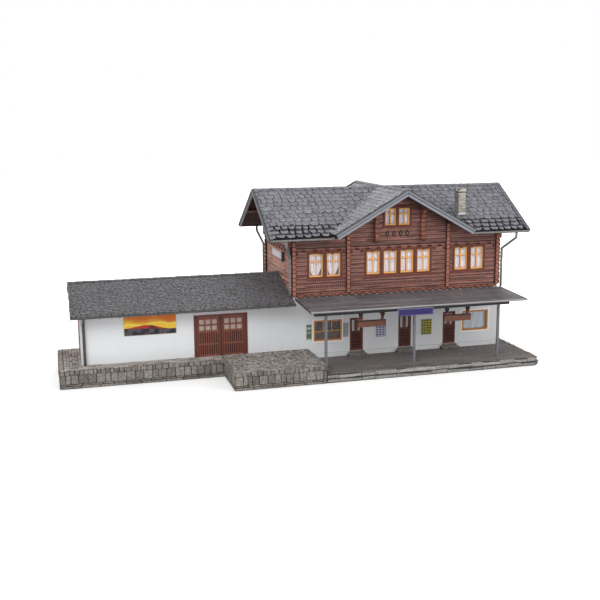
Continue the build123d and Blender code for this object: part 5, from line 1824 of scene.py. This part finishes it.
class STATION_OT_lay_chimney(bpy.types.Operator):
    """Lay the chimney's bricks on its core"""

    bl_idname = "station.lay_chimney"
    bl_label = "Lay the chimney"

    def execute(self, context):
        brick = context.scene.station_trim.brick
        low, high = node_box("chimney")
        cap, wide, reach = 2.6, 1.6, 0.4
        foot, top = low[2], high[2] - cap - 0.8
        dress("chimney", stone_finish("lime_mortar", shade(brick, 0.22), 0.1, 1.4))
        (x0, y0), (x1, y1) = low[:2] + reach, high[:2] - reach
        rng = np.random.default_rng(61)
        shape, stones = Shape(), Shape()
        course = 1.25
        for corner, way, run in (((x0, y0), (1, 0), x1 - x0), ((x1, y1), (-1, 0), x1 - x0),
                                 ((x0, y1), (0, -1), y1 - y0), ((x1, y0), (0, 1), y1 - y0)):
            face = upright(*corner, *way)
            for level in range(int((top - foot) / course)):
                bricks = 2 + level % 2 + (run > 6)
                edges = np.linspace(0, run, bricks + 1)
                if level % 2:
                    edges[1:-1] += rng.uniform(-0.15, 0.15)
                head = top - level * course
                # The left face takes the darker brick: painted shade on the chimney's shaded side.
                add_boxes(shape, columns(edges[:-1] + 0.07, head - course + 0.09, -0.3),
                          columns(edges[1:] - 0.07, head - 0.09, 0.16), 0.08, face=face,
                          tone=rng.uniform(0, 1, bricks), wobble=0.03, rng=rng,
                          material=int(way[1] < 0))
        shape.piece("chimney_bricks", "chimney_brick",
                    stone_finish("grey_brick", shade(brick, 1.25), 0.2, 1.5),
                    stone_finish("shaded_side_brick", shade(brick, 0.55), 0.2, 1.5))
        plan = lying(*((low + high) / 2)[:2], high[2])
        half_u, half_v = (high - low)[:2] / 2
        for side in (-1, 1):
            u, v = side * half_u, side * half_v
            for ends in ((-half_u, half_u, v, v - side * wide, -cap, 0.1),
                         (u, u - side * wide, wide - half_v, half_v - wide, -cap, 0.05)):
                add_spans(stones, plan, [ends], chamfer=0.25, wobble=0.08, rng=rng)
        slope = main_slopes()[1].face
        ahead = (y0 - slope.corner[1]) * math.hypot(1, MAIN_SLOPE)
        add_spans(stones, slope, [(x0 - 0.2, x1 + 0.2, -1.1, 0.3, INTO_WALL, 0.6)], (-MID, ahead), 0.2,
                  material=1)
        stones.piece("chimney_cap_stones", "chimney_brick",
                     stone_finish("cap_stone", shade(brick, 1.3), 0.1, 1.5),
                     streaked_finish("lead_flashing", (0.58, 0.58, 0.62), drift=0.1))
        return {"FINISHED"}


# ---- Signs ----
def print_finish(name, base, *bands):
    """Printed board: a base colour with (axis, pitch, line width, colour) ruled lines."""
    made = Finish(name, base, 0.5, 0.35)
    made.mottle(0.14, 2, 3)
    for axis, pitch, width, line_colour in bands:
        made.lay(made.stripes(axis, pitch, width), None, line_colour)
    made.relief(0.04, 1, 3)
    return made.done()


def face_names(signs, pale):
    """The station sign's blue field and border, the other boards' rims and a bracket."""
    low, high = node_box("canopy_roof")
    top = high[2] - CANOPY_SLOPE * (FRONT - low[1]) - 1.6
    centre = at_shares(0.479)[0]
    face = upright(MID, low[1] - 0.5, 1, 0)
    field, rims, plates, arm = (Shape() for _ in range(4))
    add_spans(field, face, [(-14.05, 14.05, -5.25, -0.05, -0.3, 0.12)], (centre, top), 0.05)
    add_ring(rims, centre, 27.4, top - 4.95, 4.6, signs.border / MM * 0.5, 0.0, 0.17, face, 0.03)
    field.piece("platform_sign_field", "name_board",
                painted_finish("sign_blue", signs.blue, 0.6, 0.08, 0.01))
    rims.piece("platform_sign_border", "name_board",
               painted_finish("sign_border", (0.16, 0.15, 0.34), 0.5, 0.06, 0.02))
    low, high = node_box("goods_door_frames")
    add_ring(plates, (low[0] + high[0]) / 2 - MID, high[0] - low[0], high[2], 2.7, 0.3, 0.3, 0.62,
             FRONT_FACE, 0.05)
    add_ring(plates, RIDGE_Y - FRONT - 42.8, 34.0, LOG_FLOOR + 23.9, 5.3, 0.45, 0.3, 0.75, LEFT_FACE,
             0.08)
    plates.piece("sign_rims", "name_board", pale)
    add_spans(arm, LEFT_FACE, [(-1.1, 1.1, 23.0, 30.6, -0.3, 2.1)], (RIDGE_Y - FRONT - 23.5, LOG_FLOOR),
              0.3)
    arm.piece("sign_bracket", "gutter_grey",
              painted_finish("bracket_iron", (0.045, 0.042, 0.045), 0.55, 0.2, 0.1))


def face_notices():
    """Ruled prints on the four notice boards, each a little inside its board."""
    dark, white, violet = (0.14, 0.17, 0.16), (0.72, 0.72, 0.76), (0.15, 0.15, 0.31)
    olive, bright = (0.075, 0.065, 0.012), (0.56, 0.51, 0.09)
    prints = ((0.0760, 4.4, 15.0, 11.8,
               print_finish("small_bill", white, (2, 3.9, 1.5, (0.30, 0.05, 0.04)),
                            (2, 3.1, 0.9, dark), (0, 1.9, 0.5, (0.05, 0.22, 0.11)))),
              (0.2492, 4.2, 15.3, 11.0,
               print_finish("grey_bill", (0.42, 0.46, 0.46), (2, 1.9, 0.3, dark), (0, 2.1, 0.2, dark))),
              (0.4184, 8.3, 13.3, 8.8,
               print_finish("timetable", violet, (2, 1.95, 0.3, white), (0, 2.6, 0.3, white))),
              (0.6420, 8.9, 12.2, 12.6,
               print_finish("yellow_timetable", bright, (2, 2.1, 0.6, olive), (0, 2.2, 0.5, olive))))
    for number, (place, width, rise, height, finish) in enumerate(prints, 1):
        half, shape = width / 2 - 0.3, Shape()
        add_spans(shape, FRONT_FACE, [(-half, half, 0.3, height - 0.3, 0.4, 0.62)],
                  (at_shares(place)[0], BASE_TOP + rise), 0.04)
        shape.piece(f"notice_print_{number}", "notice_paper", finish)


def face_billboard():
    """An abstract evening print: a glowing sky in bands over dark rolling ground.

    A band's edge follows the height on the board plus or less a sine of the way across, and
    some bands slope as well.
    """
    low, high = node_box("billboard")
    made = Finish("evening_print", (0, 0, 0), 0.4, 0.4)
    across, rise = made.along(0, low[0], high[0]), made.along(2, low[2], high[2])

    def wave(angle, tall):
        """The sine of an angle that grows to the given one across the board, times a height."""
        return made.times(made.math("SINE", made.times(across, angle)), tall)

    cloud = made.times(made.noise(6, 3), 0.35)
    height = made.plus(made.plus(rise, wave(7.0, 0.10)), made.minus(cloud, 0.17))
    warm = made.plus(height, made.times(across, 0.25))
    glow = made.math("ABSOLUTE", made.minus(height, 0.62))
    hill = made.minus(made.minus(rise, 0.34), wave(4.2, 0.20))
    foot = made.levels(made.plus(rise, made.times(across, 0.15)), 0.36, 0.30)
    made.colour = made.mix(made.levels(warm, 0.70, 1.15), (0.90, 0.56, 0.04), (0.70, 0.16, 0.01))
    made.lay(made.levels(glow, 0.09, 0.01), None, (0.95, 0.80, 0.12))
    made.lay(made.levels(hill, 0.03, -0.03), None,
             made.mix(made.patches(0.45, 0.7, 5, 3), (0.50, 0.02, 0.015), (0.06, 0.010, 0.012)))
    made.lay(foot, None,
             made.mix(made.patches(0.4, 0.6, 4, 3), (0.012, 0.012, 0.016), (0.09, 0.07, 0.08)))
    shape, margin = Shape(), 0.25
    wide, _, tall = high - low - margin
    add_spans(shape, upright(low[0], FRONT - 0.5, 1, 0, low[2]),
              [(margin, wide, margin, tall, -0.1, 0.12)], chamfer=0.04)
    shape.piece("billboard_print", "billboard_print", made.done())


class STATION_OT_hang_signs(bpy.types.Operator):
    """Face the bare signs, notices and billboard with generic prints and borders"""

    bl_idname = "station.hang_signs"
    bl_label = "Hang the signs"

    def execute(self, context):
        signs = context.scene.station_signs
        pale = painted_finish("sign_pale", signs.pale, 0.4, 0.10, 0.15)
        dress("name_boards", pale)
        dress("notice_boards", painted_finish("notice_back", (0.42, 0.43, 0.42), 0.6, 0.1, 0.1))
        dress("billboard", painted_finish("billboard_back", (0.60, 0.56, 0.48), 0.6, 0.1, 0.1))
        face_names(signs, pale)
        face_notices()
        face_billboard()
        return {"FINISHED"}


# ---- Stage ----
def set_floor(stage):
    """A level floor just under the building that shows white away from its shadow."""
    reach, level = 3.0, -0.0002
    mesh = bpy.data.meshes.new("floor")
    mesh.from_pydata([(-reach, -reach, level), (reach, -reach, level), (reach, reach, level),
                      (-reach, reach, level)], [], [(0, 1, 2, 3)])
    floor = bpy.data.objects.new("floor", mesh)
    bpy.context.scene.collection.objects.link(floor)
    made = Finish("pale_floor", stage.floor, 0.9, 0.1)
    made.mottle(0.01, 300, 2)
    path = made.node("ShaderNodeLightPath").outputs["Is Camera Ray"]
    far = made.node("ShaderNodeVectorMath", {0: made.place}, operation="LENGTH").outputs["Value"]
    made.feed(made.shader.inputs["Emission Color"], (1, 1, 1))
    made.feed(made.shader.inputs["Emission Strength"],
              made.times(path, made.levels(far, 0.16, 0.42, 0.30, 1.0)))
    mesh.materials.append(made.done())


def set_world(scene, stage):
    """White to the camera, in gloss and through glass; plain soft light otherwise."""
    world = bpy.data.worlds.new("studio")
    scene.world = world
    world.use_nodes = True
    tree = world.node_tree
    back = tree.nodes["Background"]
    back.inputs["Color"].default_value = (1, 1, 1, 1)
    rays = tree.nodes.new("ShaderNodeLightPath").outputs
    sums = []
    for _ in range(2):
        node = tree.nodes.new("ShaderNodeMath")
        node.operation = "ADD"
        node.use_clamp = True
        sums.append(node)
    strength = tree.nodes.new("ShaderNodeMapRange")
    strength.inputs[3].default_value = stage.ambient
    strength.inputs[4].default_value = 1.0
    for source, goal in ((rays["Is Glossy Ray"], sums[0].inputs[0]),
                         (rays["Is Transmission Ray"], sums[0].inputs[1]),
                         (rays["Is Camera Ray"], sums[1].inputs[0]),
                         (sums[0].outputs[0], sums[1].inputs[1]),
                         (sums[1].outputs[0], strength.inputs[0]),
                         (strength.outputs[0], back.inputs["Strength"])):
        tree.links.new(source, goal)


def set_lights(stage):
    """A large key from the front left, a fill from the right and a top light."""
    for name, place, power in (("key_light", (-0.75, -1.05, 1.05), stage.key),
                               ("fill_light", (1.0, -0.9, 0.55), stage.fill),
                               ("back_light", (0.2, 1.0, 0.9), stage.fill)):
        lamp = bpy.data.lights.new(name, "AREA")
        lamp.shape = "DISK"
        lamp.size = 0.9
        lamp.energy = power
        light = bpy.data.objects.new(name, lamp)
        place = Vector(place)
        aim = (Vector((0, 0, 0.05)) - place).to_track_quat("-Z", "Y").to_matrix().to_4x4()
        light.matrix_world = Matrix.Translation(place) @ aim
        bpy.context.scene.collection.objects.link(light)


def set_camera(scene):
    """A long lens to the left of the front, a little above the eaves."""
    turn, tilt, roll = math.radians(16.06), math.radians(10.107), math.radians(-0.30)
    ahead = np.array((math.sin(turn) * math.cos(tilt), math.cos(turn) * math.cos(tilt), -math.sin(tilt)))
    level = np.array((math.cos(turn), -math.sin(turn), 0.0))
    over = np.cross(level, ahead)
    right = math.cos(roll) * level + math.sin(roll) * over
    upward = -math.sin(roll) * level + math.cos(roll) * over
    eye = (-0.18040, -0.67970, 0.18462)
    lens = bpy.data.cameras.new("camera")
    lens.lens, lens.sensor_width = 54.137, 36.0
    lens.shift_x, lens.shift_y = -0.0245, -0.0261
    lens.clip_start = 0.01
    camera = bpy.data.objects.new("camera", lens)
    rotation = Matrix(np.stack([right, upward, -ahead], axis=1).tolist()).to_4x4()
    camera.matrix_world = Matrix.Translation(eye) @ rotation
    scene.collection.objects.link(camera)
    scene.camera = camera


class STATION_OT_set_stage(bpy.types.Operator):
    """Set the pale floor, the soft studio lights, the background and the camera"""

    bl_idname = "station.set_stage"
    bl_label = "Set the stage"

    def execute(self, context):
        stage = context.scene.station_stage
        set_floor(stage)
        set_world(context.scene, stage)
        set_lights(stage)
        set_camera(context.scene)
        context.scene.view_settings.view_transform = "Standard"
        return {"FINISHED"}


# ---- Panel and run ----
SETTINGS = (("station_roofs", RoofSettings), ("station_timber", TimberSettings),
            ("station_windows", WindowSettings), ("station_walls", WallSettings),
            ("station_stones", StoneSettings), ("station_trim", TrimSettings),
            ("station_signs", SignSettings), ("station_stage", StageSettings))
OPERATORS = (STATION_OT_slate_roofs, STATION_OT_finish_timber, STATION_OT_carve_logs,
             STATION_OT_fit_windows, STATION_OT_hang_curtains, STATION_OT_fit_doors,
             STATION_OT_plaster_walls, STATION_OT_dress_stone, STATION_OT_finish_trim,
             STATION_OT_lay_chimney, STATION_OT_hang_signs, STATION_OT_set_stage)


class STATION_PT_finishes(bpy.types.Panel):
    """Lists the station's settings and the steps that build its finishes."""

    bl_label = "Station building"
    bl_idname = "STATION_PT_finishes"
    bl_space_type = "VIEW_3D"
    bl_region_type = "UI"
    bl_category = "Station"

    def draw(self, context):
        for operator in OPERATORS:
            self.layout.operator(operator.bl_idname)
        for label, group in SETTINGS:
            box = self.layout.box()
            box.label(text=group.__doc__)
            settings = getattr(context.scene, label)
            for key in group.__annotations__:
                box.prop(settings, key)


def register():
    """Adds the settings, the operators and the panel to Blender."""
    for label, group in SETTINGS:
        bpy.utils.register_class(group)
        setattr(bpy.types.Scene, label, PointerProperty(type=group))
    for cls in (*OPERATORS, STATION_PT_finishes):
        bpy.utils.register_class(cls)


def unregister():
    """Takes them away again."""
    for cls in (STATION_PT_finishes, *reversed(OPERATORS)):
        bpy.utils.unregister_class(cls)
    for label, group in reversed(SETTINGS):
        delattr(bpy.types.Scene, label)
        bpy.utils.unregister_class(group)


def main():
    """Registers the add-on and builds every piece in order."""
    register()
    for operator in OPERATORS:
        module, name = operator.bl_idname.split(".")
        getattr(getattr(bpy.ops, module), name)()
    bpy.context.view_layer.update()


if __name__ == "__main__":
    main()
